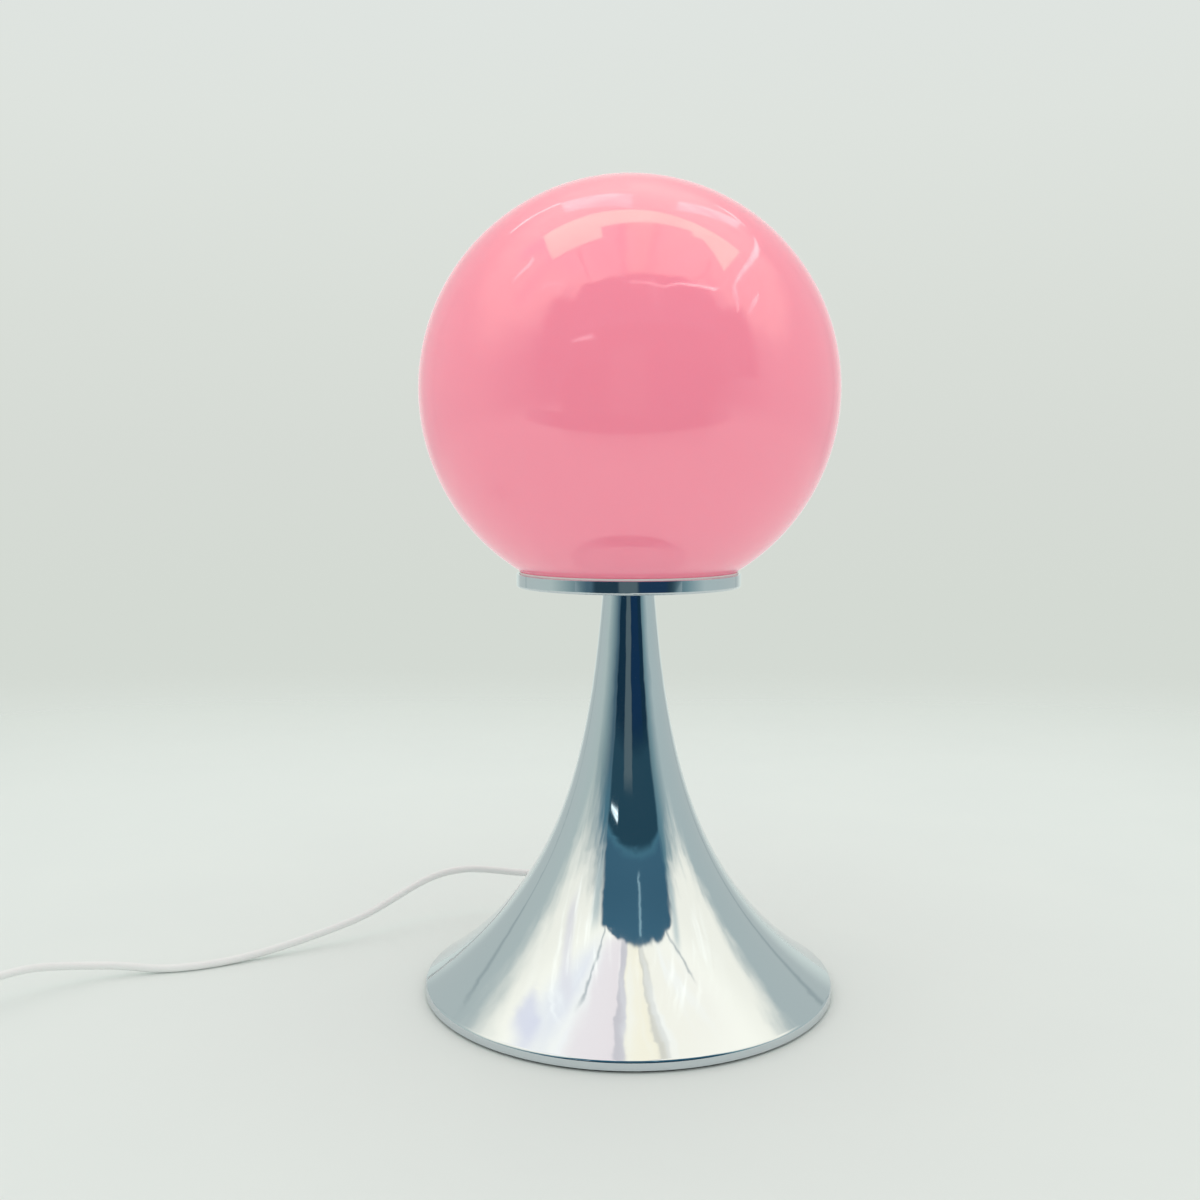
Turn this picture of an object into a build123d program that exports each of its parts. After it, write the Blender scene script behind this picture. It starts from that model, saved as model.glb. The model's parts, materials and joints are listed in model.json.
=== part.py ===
from build123d import *
import math
import os

os.makedirs("parts", exist_ok=True)

# Driving dimensions in millimetres, the lamp standing on z = 0 and facing -Y

# Globe, the soft ring under it and the chrome ring that carries both
globe_radius = 100.0
globe_wall = 3.0
globe_opening_radius = 45.8
globe_edge_round = 0.8
gasket_thickness = 1.5
gasket_margin = 0.8
ring_height = 6.5
ring_lip_width = 1.3
ring_lip_round = 0.4
ring_edge_round = 1.2
ring_recess_depth = 0.7
spigot_gap = 0.6
spigot_wall = 2.9
spigot_height = 3.5
seat_gap = 0.3

# Trumpet shell: stem, flare and rim
stem_height = 198.2
stem_radius = 12.3
stem_cap_thickness = 2.0
waist_radius = 19.3
waist_drop = 85.7
foot_radius = 100.0
foot_slope = 33.6
flare_reach = 80.0
shoulder_round = 2.0
rim_clearance = 1.0
rim_height = 3.2
rim_edge = 0.4
rim_wall = 1.4
ledge_width = 5.1
shell_wall = 1.3

# Base plate, weight and pad
pad_thickness = 1.7
pad_inset = 1.9
pad_bore_gap = 4.5
plate_thickness = 1.5
plate_gap = 0.4
dish_radius = 15.0
dish_slope_width = 6.5
dish_height = 7.3
weight_height = 11.8
weight_gap = 1.5
weight_bore_gap = 2.8
weight_screw_circle_radius = 58.0
weight_screw_count = 3
weight_screw_start = 30.0
weight_screw_radius = 2.5
weight_screw_head_radius = 4.6
weight_screw_length = 9.5
screw_gap = 0.1
head_gap = 0.2

# Hollow tie rod with its nuts and washers
tube_radius = 5.0
tube_bore_radius = 3.5
tube_hole_gap = 0.2
tube_end = 0.8
tube_slot_width = 5.0
tube_slot_length = 12.0
tube_slot_rise = 2.5
nut_flats = 17.0
nut_height = 4.5
washer_radius = 11.0
washer_thickness = 1.2

# Lampholder
holder_gap = 0.5
holder_radius = 19.5
holder_wall = 2.0
holder_foot_radius = 10.5
holder_taper_height = 14.3
holder_collar_radius = 8.5
holder_thread_length = 10.8
holder_thread_gap = 0.1
holder_floor = 3.3
holder_cap_height = 20.8
holder_joint_gap = 0.2
holder_shell_height = 31.0
holder_mouth_gap = 0.75
holder_mouth_lip = 1.7
holder_mouth_chamfer = 1.3
insert_overlap = 5.0
insert_thickness = 11.0
insert_gap = 0.3
insert_shelf_width = 2.2
insert_hollow_radius = 4.0
insert_hollow_depth = 7.0
terminal_offset = 9.5
terminal_size = 5.0
terminal_height = 6.0
terminal_gap = 0.1
terminal_hole_depth = 4.0
lead_radius = 0.8
lead_gap = 0.1
contact_rise = 2.4
contact_thickness = 0.5
contact_width = 5.0
contact_reach = 9.0
contact_tongue = 3.0
contact_slope = 4.0

# Screw cap of the bulb and the threaded sleeve that takes it
thread_pitch = 3.63
cap_radius = 13.05
cap_thread_depth = 0.85
cap_wall = 0.5
cap_length = 20.05
cap_ridges = 9
cap_lead_in = 1.5
sleeve_gap = 0.3
sleeve_thread_depth = 0.6
sleeve_wall = 0.5
sleeve_ridges = 12
sleeve_lead_in = 1.2
sleeve_flange_width = 3.15

# Bulb
tip_gap = 0.05
tip_height = 3.5
tip_face_radius = 3.5
tip_button_radius = 4.5
tip_button_height = 0.9
tip_plate_radius = 11.0
tip_plate_height = 0.7
bulb_radius = 30.0
bulb_body_height = 35.6
bulb_dome_height = 47.4
bulb_widest_rise = 14.4
bulb_shoulder_inset = 1.0
bulb_neck_radius = 16.5
bulb_neck_height = 8.0
bulb_body_wall = 2.0
bulb_stem_gap = 0.2
bulb_stem_wall = 1.5
bulb_stem_rise = 8.0
bulb_seam = 0.1
diffuser_wall = 1.2
diffuser_seam = 0.05
board_radius = 26.5
board_bore = 2.0
board_thickness = 1.2
board_seat_width = 7.0
board_seat_thickness = 1.8
chip_circle_radius = 16.0
chip_count = 10
chip_length = 3.5
chip_width = 2.8
chip_height = 0.7

# Cord, its way into the foot and its clamp
cord_radius = 2.0
cord_gap = 0.15
exit_angle = 115.0
exit_z = 26.0
bushing_inset = 4.7
bushing_flange_radius = 7.5
bushing_flange_thickness = 2.5
bushing_radius = 4.6
bushing_tip_radius = 3.0
bushing_straight = 11.0
bushing_length = 25.0
bushing_gap = 0.3
cord_inner_start = 26.0
cord_exit_lead = 10.8
switch_lead = 9.0
switch_bend = 20.0
bend_share = 0.45
lead_side = 1.3
lead_bend = 6.0
lead_small_bend = 1.6
clamp_distance = 40.0
clamp_length = 8.0
clamp_width = 17.0
clamp_corner = 1.5
clamp_cover = 2.3
clamp_split = 0.3
clamp_grip_gap = 0.05
clamp_screw_side = 5.5
clamp_screw_radius = 1.4
clamp_screw_depth = 5.0
clamp_head_radius = 2.7
clamp_head_height = 1.6

# Coil of spare cord and the strap round it
coil_turns_per_layer = 4
coil_outer_radius = 34.0
coil_gap = 0.5
coil_start_x = -418.0
coil_centre_y = -10.0
coil_straight = 4.0
tie_wall = 0.6
tie_gap = 0.4
tie_side_gap = 1.4
tie_width = 10.0
tie_corner = 1.0
tail_length = 23.0

# In-line switch
switch_centre_x = -364.0
switch_centre_y = -65.0
switch_length = 50.0
switch_width = 24.0
switch_base_height = 9.0
switch_cover_height = 9.0
switch_wall = 2.0
switch_corner = 7.0
switch_foot_round = 1.0
switch_top_round = 2.2
switch_cord_entry = 3.0
post_radius = 2.8
post_along = 18.5
post_side = 6.5
switch_screw_radius = 1.1
switch_screw_head_radius = 2.1
switch_screw_head_height = 1.5
switch_screw_sunk = 1.0
switch_screw_length = 12.0
pivot_drop = 4.5
pivot_radius = 1.0
pivot_gap = 0.1
pivot_turning_gap = 0.3
pivot_length = 16.0
cheek_length = 6.0
cheek_thickness = 2.0
cheek_drop = 2.2
rocker_length = 19.2
rocker_width = 10.8
rocker_height = 7.6
rocker_dip = 1.4
rocker_skirt = 2.5
rocker_foot_length = 5.2
rocker_foot_drop = 2.3
rocker_tilt = 8.0
window_end_gap = 1.5
window_side_gap = 0.6
window_corner = 0.8
contact_block_length = 7.0
contact_block_width = 4.5
contact_block_height = 4.5
contact_block_along = 9.0
contact_block_side = 5.5

# Plug
plug_length = 36.0
plug_width = 35.0
plug_back_width = 13.0
plug_shoulder_inset = 3.0
plug_shoulder_start = 15.0
plug_shoulder_end = 22.0
plug_corner = 2.0
plug_edge_round = 2.5
boot_length = 22.0
boot_small_radius = 3.2
boot_large_radius = 5.2
boot_root = 1.0
boot_bore_depth = 10.0
boot_overlap = 3.0
pin_spacing = 19.0
pin_radius = 2.0
pin_length = 19.0
pin_tip_round = 1.4
pin_root_radius = 2.5
pin_root_length = 12.0
pin_gap = 0.05

# Heights and radii of the foot
plate_bottom = pad_thickness
ledge_z = plate_bottom + plate_thickness
dish_z = plate_bottom + dish_height
rim_top = rim_clearance + rim_height
ledge_radius = foot_radius - rim_wall - ledge_width
plate_radius = foot_radius - rim_wall - plate_gap
pad_radius = foot_radius - pad_inset
dish_foot_radius = dish_radius + dish_slope_width
dish_slope = math.atan2(dish_height, dish_slope_width)
dish_shift = plate_thickness * math.tan(dish_slope / 2)
pad_bore = dish_foot_radius + pad_bore_gap
weight_bore = dish_foot_radius + dish_shift + weight_bore_gap
weight_top = ledge_z + weight_height
weight_radius = ledge_radius - weight_gap
tube_hole = tube_radius + tube_hole_gap
bottom_nut_top = dish_z - washer_thickness
tube_bottom = bottom_nut_top - nut_height - tube_end

# Heights and radii of the ring and the globe
ring_bottom = stem_height
ring_top = ring_bottom + ring_height
recess_floor = ring_top - ring_recess_depth
seat_z = recess_floor + gasket_thickness
spigot_top = recess_floor + spigot_height
globe_inner_radius = globe_radius - globe_wall
seat_drop = math.sqrt(globe_inner_radius**2 - globe_opening_radius**2)
seat_radius = math.sqrt(globe_radius**2 - seat_drop**2)
globe_centre_z = seat_z + seat_drop
gasket_radius = seat_radius + gasket_margin
ring_recess_radius = gasket_radius + seat_gap
ring_radius = ring_recess_radius + ring_lip_width
spigot_radius = globe_opening_radius - spigot_gap

# Heights and radii of the lampholder and the bulb
ring_nut_bottom = recess_floor + washer_thickness
holder_bottom = ring_nut_bottom + nut_height + holder_gap
tube_top = holder_bottom + holder_thread_length
holder_joint = holder_bottom + holder_cap_height
holder_shell_bottom = holder_joint + holder_joint_gap
holder_top = holder_joint + holder_shell_height
holder_bore = holder_radius - holder_wall
insert_bottom = holder_joint - insert_overlap
insert_top = insert_bottom + insert_thickness
contact_top = insert_top + contact_rise
sleeve_small = cap_radius + sleeve_gap
sleeve_large = sleeve_small + sleeve_thread_depth
holder_mouth_radius = sleeve_large + sleeve_wall + holder_mouth_gap
tip_bottom = contact_top + tip_gap
cap_bottom = tip_bottom + tip_height
cap_top = cap_bottom + cap_length
cap_small = cap_radius - cap_thread_depth
board_z = cap_top + bulb_body_height
bulb_top = board_z + bulb_dome_height
widest_z = board_z + bulb_widest_rise

# Directions along the cord where it leaves the foot
exit_x = math.cos(math.radians(exit_angle))
exit_y = math.sin(math.radians(exit_angle))
exit_plane = Plane(origin=(0, 0, exit_z), x_dir=(exit_x, exit_y, 0), z_dir=(exit_y, -exit_x, 0))
exit_axis = Axis((0, 0, exit_z), (exit_x, exit_y, 0))
cord_bore = cord_radius + cord_gap
standing = (Align.CENTER, Align.CENTER, Align.MIN)


def along_exit(distance, side=0.0, height=exit_z):
    return (distance * exit_x - side * exit_y, distance * exit_y + side * exit_x, height)


def across_exit(distance):
    return Plane(origin=along_exit(distance), x_dir=(0, 0, 1), z_dir=(exit_x, exit_y, 0))


# Trumpet shell, one smooth curve from the ring to the rim
slope_turn = math.radians(foot_slope)
shoulder_r = foot_radius - shoulder_round * (1 - math.sin(slope_turn))
shoulder_z = rim_top + shoulder_round * math.cos(slope_turn)
waist_z = stem_height - waist_drop
flare_r = shoulder_r - flare_reach * math.cos(slope_turn)
flare_z = shoulder_z + flare_reach * math.sin(slope_turn)
wall_r = shell_wall * math.sin(slope_turn)
wall_z = shell_wall * math.cos(slope_turn)
outer_curve = [
    (stem_radius, stem_height),
    (waist_radius, waist_z),
    (flare_r, flare_z),
    (shoulder_r, shoulder_z),
]
inner_curve = [
    (stem_radius - shell_wall, stem_height - stem_cap_thickness),
    (waist_radius - shell_wall, waist_z - stem_cap_thickness / 2),
    (flare_r - wall_r, flare_z - wall_z),
    (shoulder_r - wall_r, shoulder_z - wall_z),
]

with BuildPart() as shell_hollow:
    with BuildSketch(Plane.XZ):
        with BuildLine():
            Bezier(*inner_curve)
            Polyline(
                inner_curve[3],
                (inner_curve[3][0], 0),
                (0, 0),
                (0, inner_curve[0][1]),
                inner_curve[0],
            )
        make_face()
    revolve(axis=Axis.Z)
    Cylinder(ledge_radius, 2 * stem_height, mode=Mode.INTERSECT)

with BuildPart() as trumpet_base:
    with BuildSketch(Plane.XZ):
        with BuildLine():
            flare = Bezier(*outer_curve)
            TangentArc(flare @ 1, (foot_radius, rim_top), tangent=flare % 1)
            Polyline(
                (foot_radius, rim_top),
                (foot_radius, rim_clearance + rim_edge),
                (foot_radius - rim_edge, rim_clearance),
                (0, rim_clearance),
                (0, stem_height),
                (stem_radius, stem_height),
            )
        make_face()
    revolve(axis=Axis.Z)
    add(shell_hollow.part, mode=Mode.SUBTRACT)
    with BuildSketch(Plane.XY.offset(rim_clearance)):
        Circle(foot_radius - rim_wall)
    extrude(amount=ledge_z - rim_clearance, mode=Mode.SUBTRACT)
    with BuildSketch(Plane.XY.offset(stem_height)):
        Circle(tube_hole)
    extrude(amount=-2 * stem_cap_thickness, mode=Mode.SUBTRACT)
    with BuildSketch(across_exit(clamp_distance)):
        Circle(bushing_radius + bushing_gap)
    extrude(amount=foot_radius, mode=Mode.SUBTRACT)
trumpet_base.part.label = "trumpet_base"
export_step(trumpet_base.part, "parts/trumpet_base.step")


def flare_radius(height):
    low = 0.0
    high = 1.0
    for halving in range(40):
        middle = (low + high) / 2
        if (flare @ middle).Y > height:
            low = middle
        else:
            high = middle
    return (flare @ low).X


# Base plate, weight, pad and their screws
screw_spots = PolarLocations(weight_screw_circle_radius, weight_screw_count, start_angle=weight_screw_start)
with BuildPart() as base_plate:
    with BuildSketch(Plane.XZ):
        with BuildLine():
            Polyline(
                (tube_hole, dish_z),
                (dish_radius, dish_z),
                (dish_foot_radius, plate_bottom),
                (plate_radius, plate_bottom),
                (plate_radius, ledge_z),
                (dish_foot_radius + dish_shift, ledge_z),
                (dish_radius + dish_shift, dish_z + plate_thickness),
                (tube_hole, dish_z + plate_thickness),
                close=True,
            )
        make_face()
    revolve(axis=Axis.Z)
    with screw_spots:
        with Locations((0, 0, plate_bottom)):
            Cone(
                weight_screw_head_radius + head_gap,
                weight_screw_radius + head_gap,
                plate_thickness,
                align=standing,
                mode=Mode.SUBTRACT,
            )
base_plate.part.label = "base_plate"
export_step(base_plate.part, "parts/base_plate.step")

with BuildPart() as base_weight:
    with BuildSketch(Plane.XY.offset(ledge_z)):
        Circle(weight_radius)
        Circle(weight_bore, mode=Mode.SUBTRACT)
    extrude(amount=weight_height)
    add(shell_hollow.part.moved(Location((0, 0, -weight_gap))), mode=Mode.INTERSECT)
    with BuildSketch(Plane.XY.offset(ledge_z)):
        with screw_spots:
            Circle(weight_screw_radius + screw_gap)
    extrude(amount=weight_screw_length, mode=Mode.SUBTRACT)
    with BuildSketch(Plane.XY.offset(weight_top)):
        for side in (clamp_screw_side, -clamp_screw_side):
            with Locations(along_exit(clamp_distance, side)[:2]):
                Circle(clamp_screw_radius + screw_gap)
    extrude(amount=-clamp_screw_depth - clamp_corner, mode=Mode.SUBTRACT)
base_weight.part.label = "base_weight"
export_step(base_weight.part, "parts/base_weight.step")

with BuildPart() as weight_screws:
    with screw_spots:
        with Locations((0, 0, plate_bottom)):
            Cone(weight_screw_head_radius, weight_screw_radius, plate_thickness, align=standing)
            Cylinder(weight_screw_radius, weight_screw_length, align=standing)
weight_screws.part.label = "weight_screws"
export_step(weight_screws.part, "parts/weight_screws.step")

with BuildPart() as foot_pad:
    with BuildSketch():
        Circle(pad_radius)
        Circle(pad_bore, mode=Mode.SUBTRACT)
    extrude(amount=pad_thickness)
foot_pad.part.label = "foot_pad"
export_step(foot_pad.part, "parts/foot_pad.step")

# Hollow tie rod with its nuts and washers
with BuildPart() as threaded_tube:
    with BuildSketch(Plane.XY.offset(tube_bottom)):
        Circle(tube_radius)
        Circle(tube_bore_radius, mode=Mode.SUBTRACT)
    extrude(amount=tube_top - tube_bottom)
    slot_plane = Plane(origin=(0, 0, exit_z), x_dir=(-exit_y, exit_x, 0), z_dir=(exit_x, exit_y, 0))
    with BuildSketch(slot_plane):
        with Locations((0, tube_slot_rise)):
            SlotOverall(tube_slot_length, tube_slot_width, rotation=90)
    extrude(amount=2 * tube_radius, mode=Mode.SUBTRACT)
threaded_tube.part.label = "threaded_tube"
export_step(threaded_tube.part, "parts/threaded_tube.step")

with BuildPart() as bottom_washer:
    with BuildSketch(Plane.XY.offset(dish_z)):
        Circle(washer_radius)
        Circle(tube_hole, mode=Mode.SUBTRACT)
    extrude(amount=-washer_thickness)
bottom_washer.part.label = "bottom_washer"
export_step(bottom_washer.part, "parts/bottom_washer.step")

with BuildPart() as bottom_nut:
    with BuildSketch(Plane.XY.offset(bottom_nut_top)):
        RegularPolygon(nut_flats / 2, 6, major_radius=False)
        Circle(tube_hole, mode=Mode.SUBTRACT)
    extrude(amount=-nut_height)
bottom_nut.part.label = "bottom_nut"
export_step(bottom_nut.part, "parts/bottom_nut.step")

with BuildPart() as ring_washer:
    with BuildSketch(Plane.XY.offset(recess_floor)):
        Circle(washer_radius)
        Circle(tube_hole, mode=Mode.SUBTRACT)
    extrude(amount=washer_thickness)
ring_washer.part.label = "ring_washer"
export_step(ring_washer.part, "parts/ring_washer.step")

with BuildPart() as ring_nut:
    with BuildSketch(Plane.XY.offset(ring_nut_bottom)):
        RegularPolygon(nut_flats / 2, 6, major_radius=False)
        Circle(tube_hole, mode=Mode.SUBTRACT)
    extrude(amount=nut_height)
ring_nut.part.label = "ring_nut"
export_step(ring_nut.part, "parts/ring_nut.step")

# Chrome ring that carries the globe, and the soft ring under the glass
with BuildPart() as shade_ring:
    with BuildSketch(Plane.XZ) as ring_section:
        with BuildLine():
            Polyline(
                (tube_hole, ring_bottom),
                (ring_radius, ring_bottom),
                (ring_radius, ring_top),
                (ring_recess_radius, ring_top),
                (ring_recess_radius, recess_floor),
                (spigot_radius, recess_floor),
                (spigot_radius, spigot_top),
                (spigot_radius - spigot_wall, spigot_top),
                (spigot_radius - spigot_wall, recess_floor),
                (tube_hole, recess_floor),
                close=True,
            )
        make_face()
        lip_corners = ring_section.vertices().group_by(Axis.Y)[-2]
        fillet(lip_corners, radius=ring_lip_round)
        lower_corners = ring_section.vertices().group_by(Axis.Y)[0]
        fillet(lower_corners.sort_by(Axis.X)[-1], radius=ring_edge_round)
    revolve(axis=Axis.Z)
shade_ring.part.label = "shade_ring"
export_step(shade_ring.part, "parts/shade_ring.step")

with BuildPart() as globe_gasket:
    with BuildSketch(Plane.XY.offset(recess_floor)):
        Circle(gasket_radius)
        Circle(spigot_radius + seat_gap, mode=Mode.SUBTRACT)
    extrude(amount=gasket_thickness)
globe_gasket.part.label = "globe_gasket"
export_step(globe_gasket.part, "parts/globe_gasket.step")

with BuildPart() as globe:
    with BuildSketch(Plane.XZ) as globe_section:
        with BuildLine():
            ThreePointArc(
                (seat_radius, seat_z),
                (globe_radius, globe_centre_z),
                (0, globe_centre_z + globe_radius),
            )
            Line((0, globe_centre_z + globe_radius), (0, globe_centre_z + globe_inner_radius))
            ThreePointArc(
                (0, globe_centre_z + globe_inner_radius),
                (globe_inner_radius, globe_centre_z),
                (globe_opening_radius, seat_z),
            )
            Line((globe_opening_radius, seat_z), (seat_radius, seat_z))
        make_face()
        fillet(globe_section.vertices().group_by(Axis.Y)[0], radius=globe_edge_round)
    revolve(axis=Axis.Z)
globe.part.label = "globe"
export_step(globe.part, "parts/globe.step")

# Lampholder
with BuildPart() as holder_cap:
    with BuildSketch(Plane.XZ):
        with BuildLine():
            Bezier(
                (holder_foot_radius, holder_bottom),
                ((holder_foot_radius + holder_radius) / 2, holder_bottom),
                (holder_radius, holder_bottom + holder_taper_height / 2),
                (holder_radius, holder_bottom + holder_taper_height),
            )
            Polyline(
                (holder_radius, holder_bottom + holder_taper_height),
                (holder_radius, holder_joint),
                (holder_bore, holder_joint),
                (holder_bore, insert_bottom),
                (holder_bore - insert_shelf_width, insert_bottom),
                (holder_bore - insert_shelf_width, holder_bottom + 3 * holder_floor),
                (holder_collar_radius + holder_floor, holder_bottom + holder_floor),
                (holder_collar_radius, holder_bottom + holder_floor),
                (holder_collar_radius, tube_top),
                (tube_radius + holder_thread_gap, tube_top),
                (tube_radius + holder_thread_gap, holder_bottom),
                (holder_foot_radius, holder_bottom),
            )
        make_face()
    revolve(axis=Axis.Z)
holder_cap.part.label = "holder_cap"
export_step(holder_cap.part, "parts/holder_cap.step")

with BuildPart() as holder_insert:
    with BuildSketch(Plane.XY.offset(insert_bottom)):
        Circle(holder_bore - insert_gap)
    extrude(amount=insert_thickness)
    with BuildSketch(Plane.XY.offset(insert_bottom)):
        with Locations((terminal_offset, 0), (-terminal_offset, 0)):
            Rectangle(terminal_size + 2 * terminal_gap, terminal_size + 2 * terminal_gap)
    extrude(amount=terminal_height + 2 * terminal_gap, mode=Mode.SUBTRACT)
    with BuildSketch(Plane.XY.offset(insert_bottom)):
        Circle(insert_hollow_radius)
    extrude(amount=insert_hollow_depth, mode=Mode.SUBTRACT)
holder_insert.part.label = "holder_insert"
export_step(holder_insert.part, "parts/holder_insert.step")

terminal_bottom = insert_bottom + terminal_gap
with BuildPart() as terminals:
    with Locations((terminal_offset, 0, terminal_bottom), (-terminal_offset, 0, terminal_bottom)):
        Box(terminal_size, terminal_size, terminal_height, align=standing)
        Cylinder(lead_radius + lead_gap, terminal_hole_depth, align=standing, mode=Mode.SUBTRACT)
terminals.part.label = "terminals"
export_step(terminals.part, "parts/terminals.step")

sleeve_inside = []
sleeve_outside = []
for ridge in range(sleeve_ridges):
    ridge_z = insert_top + sleeve_lead_in + ridge * thread_pitch / 2
    ridge_r = sleeve_small if ridge % 2 == 0 else sleeve_large
    sleeve_inside.append((ridge_r, ridge_z))
    sleeve_outside.append((ridge_r + sleeve_wall, ridge_z))
sleeve_flange = [
    (sleeve_small, insert_top),
    (sleeve_small + sleeve_flange_width, insert_top),
    (sleeve_small + sleeve_flange_width, insert_top + sleeve_wall),
    (sleeve_small + sleeve_wall, insert_top + sleeve_wall),
]
with BuildPart() as screw_shell:
    with BuildSketch(Plane.XZ):
        with BuildLine():
            Polyline(*sleeve_flange, *sleeve_outside, *sleeve_inside[::-1], close=True)
        make_face()
    revolve(axis=Axis.Z)
screw_shell.part.label = "screw_shell"
export_step(screw_shell.part, "parts/screw_shell.step")

tongue_bottom = contact_top - contact_thickness
with BuildPart() as centre_contact:
    with BuildSketch(Plane.XZ):
        with BuildLine():
            Polyline(
                (-contact_reach, insert_top),
                (-contact_slope, insert_top),
                (contact_rise - contact_slope, tongue_bottom),
                (contact_tongue, tongue_bottom),
                (contact_tongue, contact_top),
                (contact_rise - contact_slope - contact_thickness, contact_top),
                (-contact_slope - contact_thickness, insert_top + contact_thickness),
                (-contact_reach, insert_top + contact_thickness),
                close=True,
            )
        make_face()
    extrude(amount=contact_width / 2, both=True)
centre_contact.part.label = "centre_contact"
export_step(centre_contact.part, "parts/centre_contact.step")

with BuildPart() as holder_shell:
    with BuildSketch(Plane.XZ):
        with BuildLine():
            Polyline(
                (holder_bore, holder_shell_bottom),
                (holder_radius, holder_shell_bottom),
                (holder_radius, holder_top - holder_mouth_chamfer),
                (holder_radius - holder_mouth_chamfer, holder_top),
                (holder_mouth_radius, holder_top),
                (holder_mouth_radius, holder_top - holder_mouth_lip),
                (holder_bore, holder_top - holder_mouth_lip),
                close=True,
            )
        make_face()
    revolve(axis=Axis.Z)
holder_shell.part.label = "holder_shell"
export_step(holder_shell.part, "parts/holder_shell.step")

# Bulb
with BuildPart() as bulb_tip:
    with BuildSketch(Plane.XZ):
        with BuildLine():
            Polyline(
                (0, tip_bottom),
                (tip_face_radius, tip_bottom),
                (tip_button_radius, tip_bottom + tip_button_height),
                (tip_plate_radius, cap_bottom),
                (tip_plate_radius, cap_bottom + tip_plate_height),
                (0, cap_bottom + tip_plate_height),
                close=True,
            )
        make_face()
    revolve(axis=Axis.Z)
bulb_tip.part.label = "bulb_tip"
export_step(bulb_tip.part, "parts/bulb_tip.step")

cap_outside = []
cap_inside = []
for ridge in range(cap_ridges):
    ridge_z = cap_bottom + cap_lead_in + ridge * thread_pitch / 2
    ridge_r = cap_small if ridge % 2 == 0 else cap_radius
    cap_outside.append((ridge_r, ridge_z))
    cap_inside.append((ridge_r - cap_wall, ridge_z))
cap_floor = tip_plate_radius + seat_gap
cap_outline = [(cap_floor, cap_bottom), (cap_small, cap_bottom)]
cap_outline = cap_outline + cap_outside
cap_outline = cap_outline + [(cap_radius, cap_top - cap_lead_in), (cap_radius, cap_top)]
cap_outline = cap_outline + [(cap_radius - cap_wall, cap_top), (cap_radius - cap_wall, cap_top - cap_lead_in)]
cap_outline = cap_outline + cap_inside[::-1] + [(cap_floor, cap_bottom + cap_wall)]
with BuildPart() as bulb_cap:
    with BuildSketch(Plane.XZ):
        with BuildLine():
            Polyline(*cap_outline, close=True)
        make_face()
    revolve(axis=Axis.Z)
bulb_cap.part.label = "bulb_cap"
export_step(bulb_cap.part, "parts/bulb_cap.step")

bulb_foot = cap_top + bulb_seam
bulb_shoulder = bulb_radius - bulb_shoulder_inset
stem_outside = cap_small - cap_wall - bulb_stem_gap
stem_inside = stem_outside - bulb_stem_wall
stem_bottom = cap_bottom + bulb_stem_rise
neck_z = cap_top + bulb_neck_height
bulb_body_bulge = bulb_body_height - bulb_neck_height
with BuildPart() as bulb_body:
    with BuildSketch(Plane.XZ):
        with BuildLine():
            Polyline(
                (stem_inside, stem_bottom),
                (stem_outside, stem_bottom),
                (stem_outside, bulb_foot),
                (cap_radius + bulb_stem_gap, bulb_foot),
                (bulb_neck_radius, neck_z),
            )
            Bezier(
                (bulb_neck_radius, neck_z),
                (bulb_neck_radius + bulb_body_bulge / 7, neck_z + bulb_body_bulge / 3),
                (bulb_shoulder - bulb_body_bulge / 7, board_z - bulb_body_bulge / 3),
                (bulb_shoulder, board_z),
            )
            Polyline(
                (bulb_shoulder, board_z),
                (bulb_shoulder - board_seat_width, board_z),
                (bulb_shoulder - board_seat_width, board_z - board_seat_thickness),
                (bulb_shoulder - 2 * bulb_body_wall, board_z - board_seat_thickness),
                (bulb_neck_radius - bulb_body_wall, neck_z + bulb_body_wall / 2),
                (stem_inside, cap_top),
                (stem_inside, stem_bottom),
            )
        make_face()
    revolve(axis=Axis.Z)
bulb_body.part.label = "bulb_body"
export_step(bulb_body.part, "parts/bulb_body.step")

with BuildPart() as bulb_led_board:
    with BuildSketch(Plane.XY.offset(board_z)):
        Circle(board_radius)
        Circle(board_bore, mode=Mode.SUBTRACT)
    extrude(amount=board_thickness)
    with BuildSketch(Plane.XY.offset(board_z + board_thickness)):
        with PolarLocations(chip_circle_radius, chip_count):
            Rectangle(chip_length, chip_width)
    extrude(amount=chip_height)
bulb_led_board.part.label = "bulb_led_board"
export_step(bulb_led_board.part, "parts/bulb_led_board.step")


def diffuser_curves(inset):
    foot = (bulb_shoulder - inset, board_z + diffuser_seam)
    foot_handle = (bulb_radius - bulb_shoulder_inset / 4 - inset, board_z + bulb_widest_rise / 3)
    side_handle = (bulb_radius - inset, widest_z - bulb_widest_rise / 3)
    side = (bulb_radius - inset, widest_z)
    dome_height = bulb_top - inset - widest_z
    dome_handle = (bulb_radius - inset, widest_z + 0.57 * dome_height)
    top_handle = (0.57 * (bulb_radius - inset), bulb_top - inset)
    top = (0, bulb_top - inset)
    return [foot, foot_handle, side_handle, side], [side, dome_handle, top_handle, top]


outer_foot, outer_dome = diffuser_curves(0.0)
inner_foot, inner_dome = diffuser_curves(diffuser_wall)
with BuildPart() as bulb_diffuser:
    with BuildSketch(Plane.XZ):
        with BuildLine():
            Bezier(*outer_foot)
            Bezier(*outer_dome)
            Line(outer_dome[3], inner_dome[3])
            Bezier(*inner_dome[::-1])
            Bezier(*inner_foot[::-1])
            Line(inner_foot[0], outer_foot[0])
        make_face()
    revolve(axis=Axis.Z)
bulb_diffuser.part.label = "bulb_diffuser"
export_step(bulb_diffuser.part, "parts/bulb_diffuser.step")

# Leads from the cord's end, up the tube, to the terminals
lead_bends = [lead_bend, lead_small_bend, lead_small_bend]
lead_top = terminal_bottom + terminal_hole_depth - lead_gap


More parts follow.
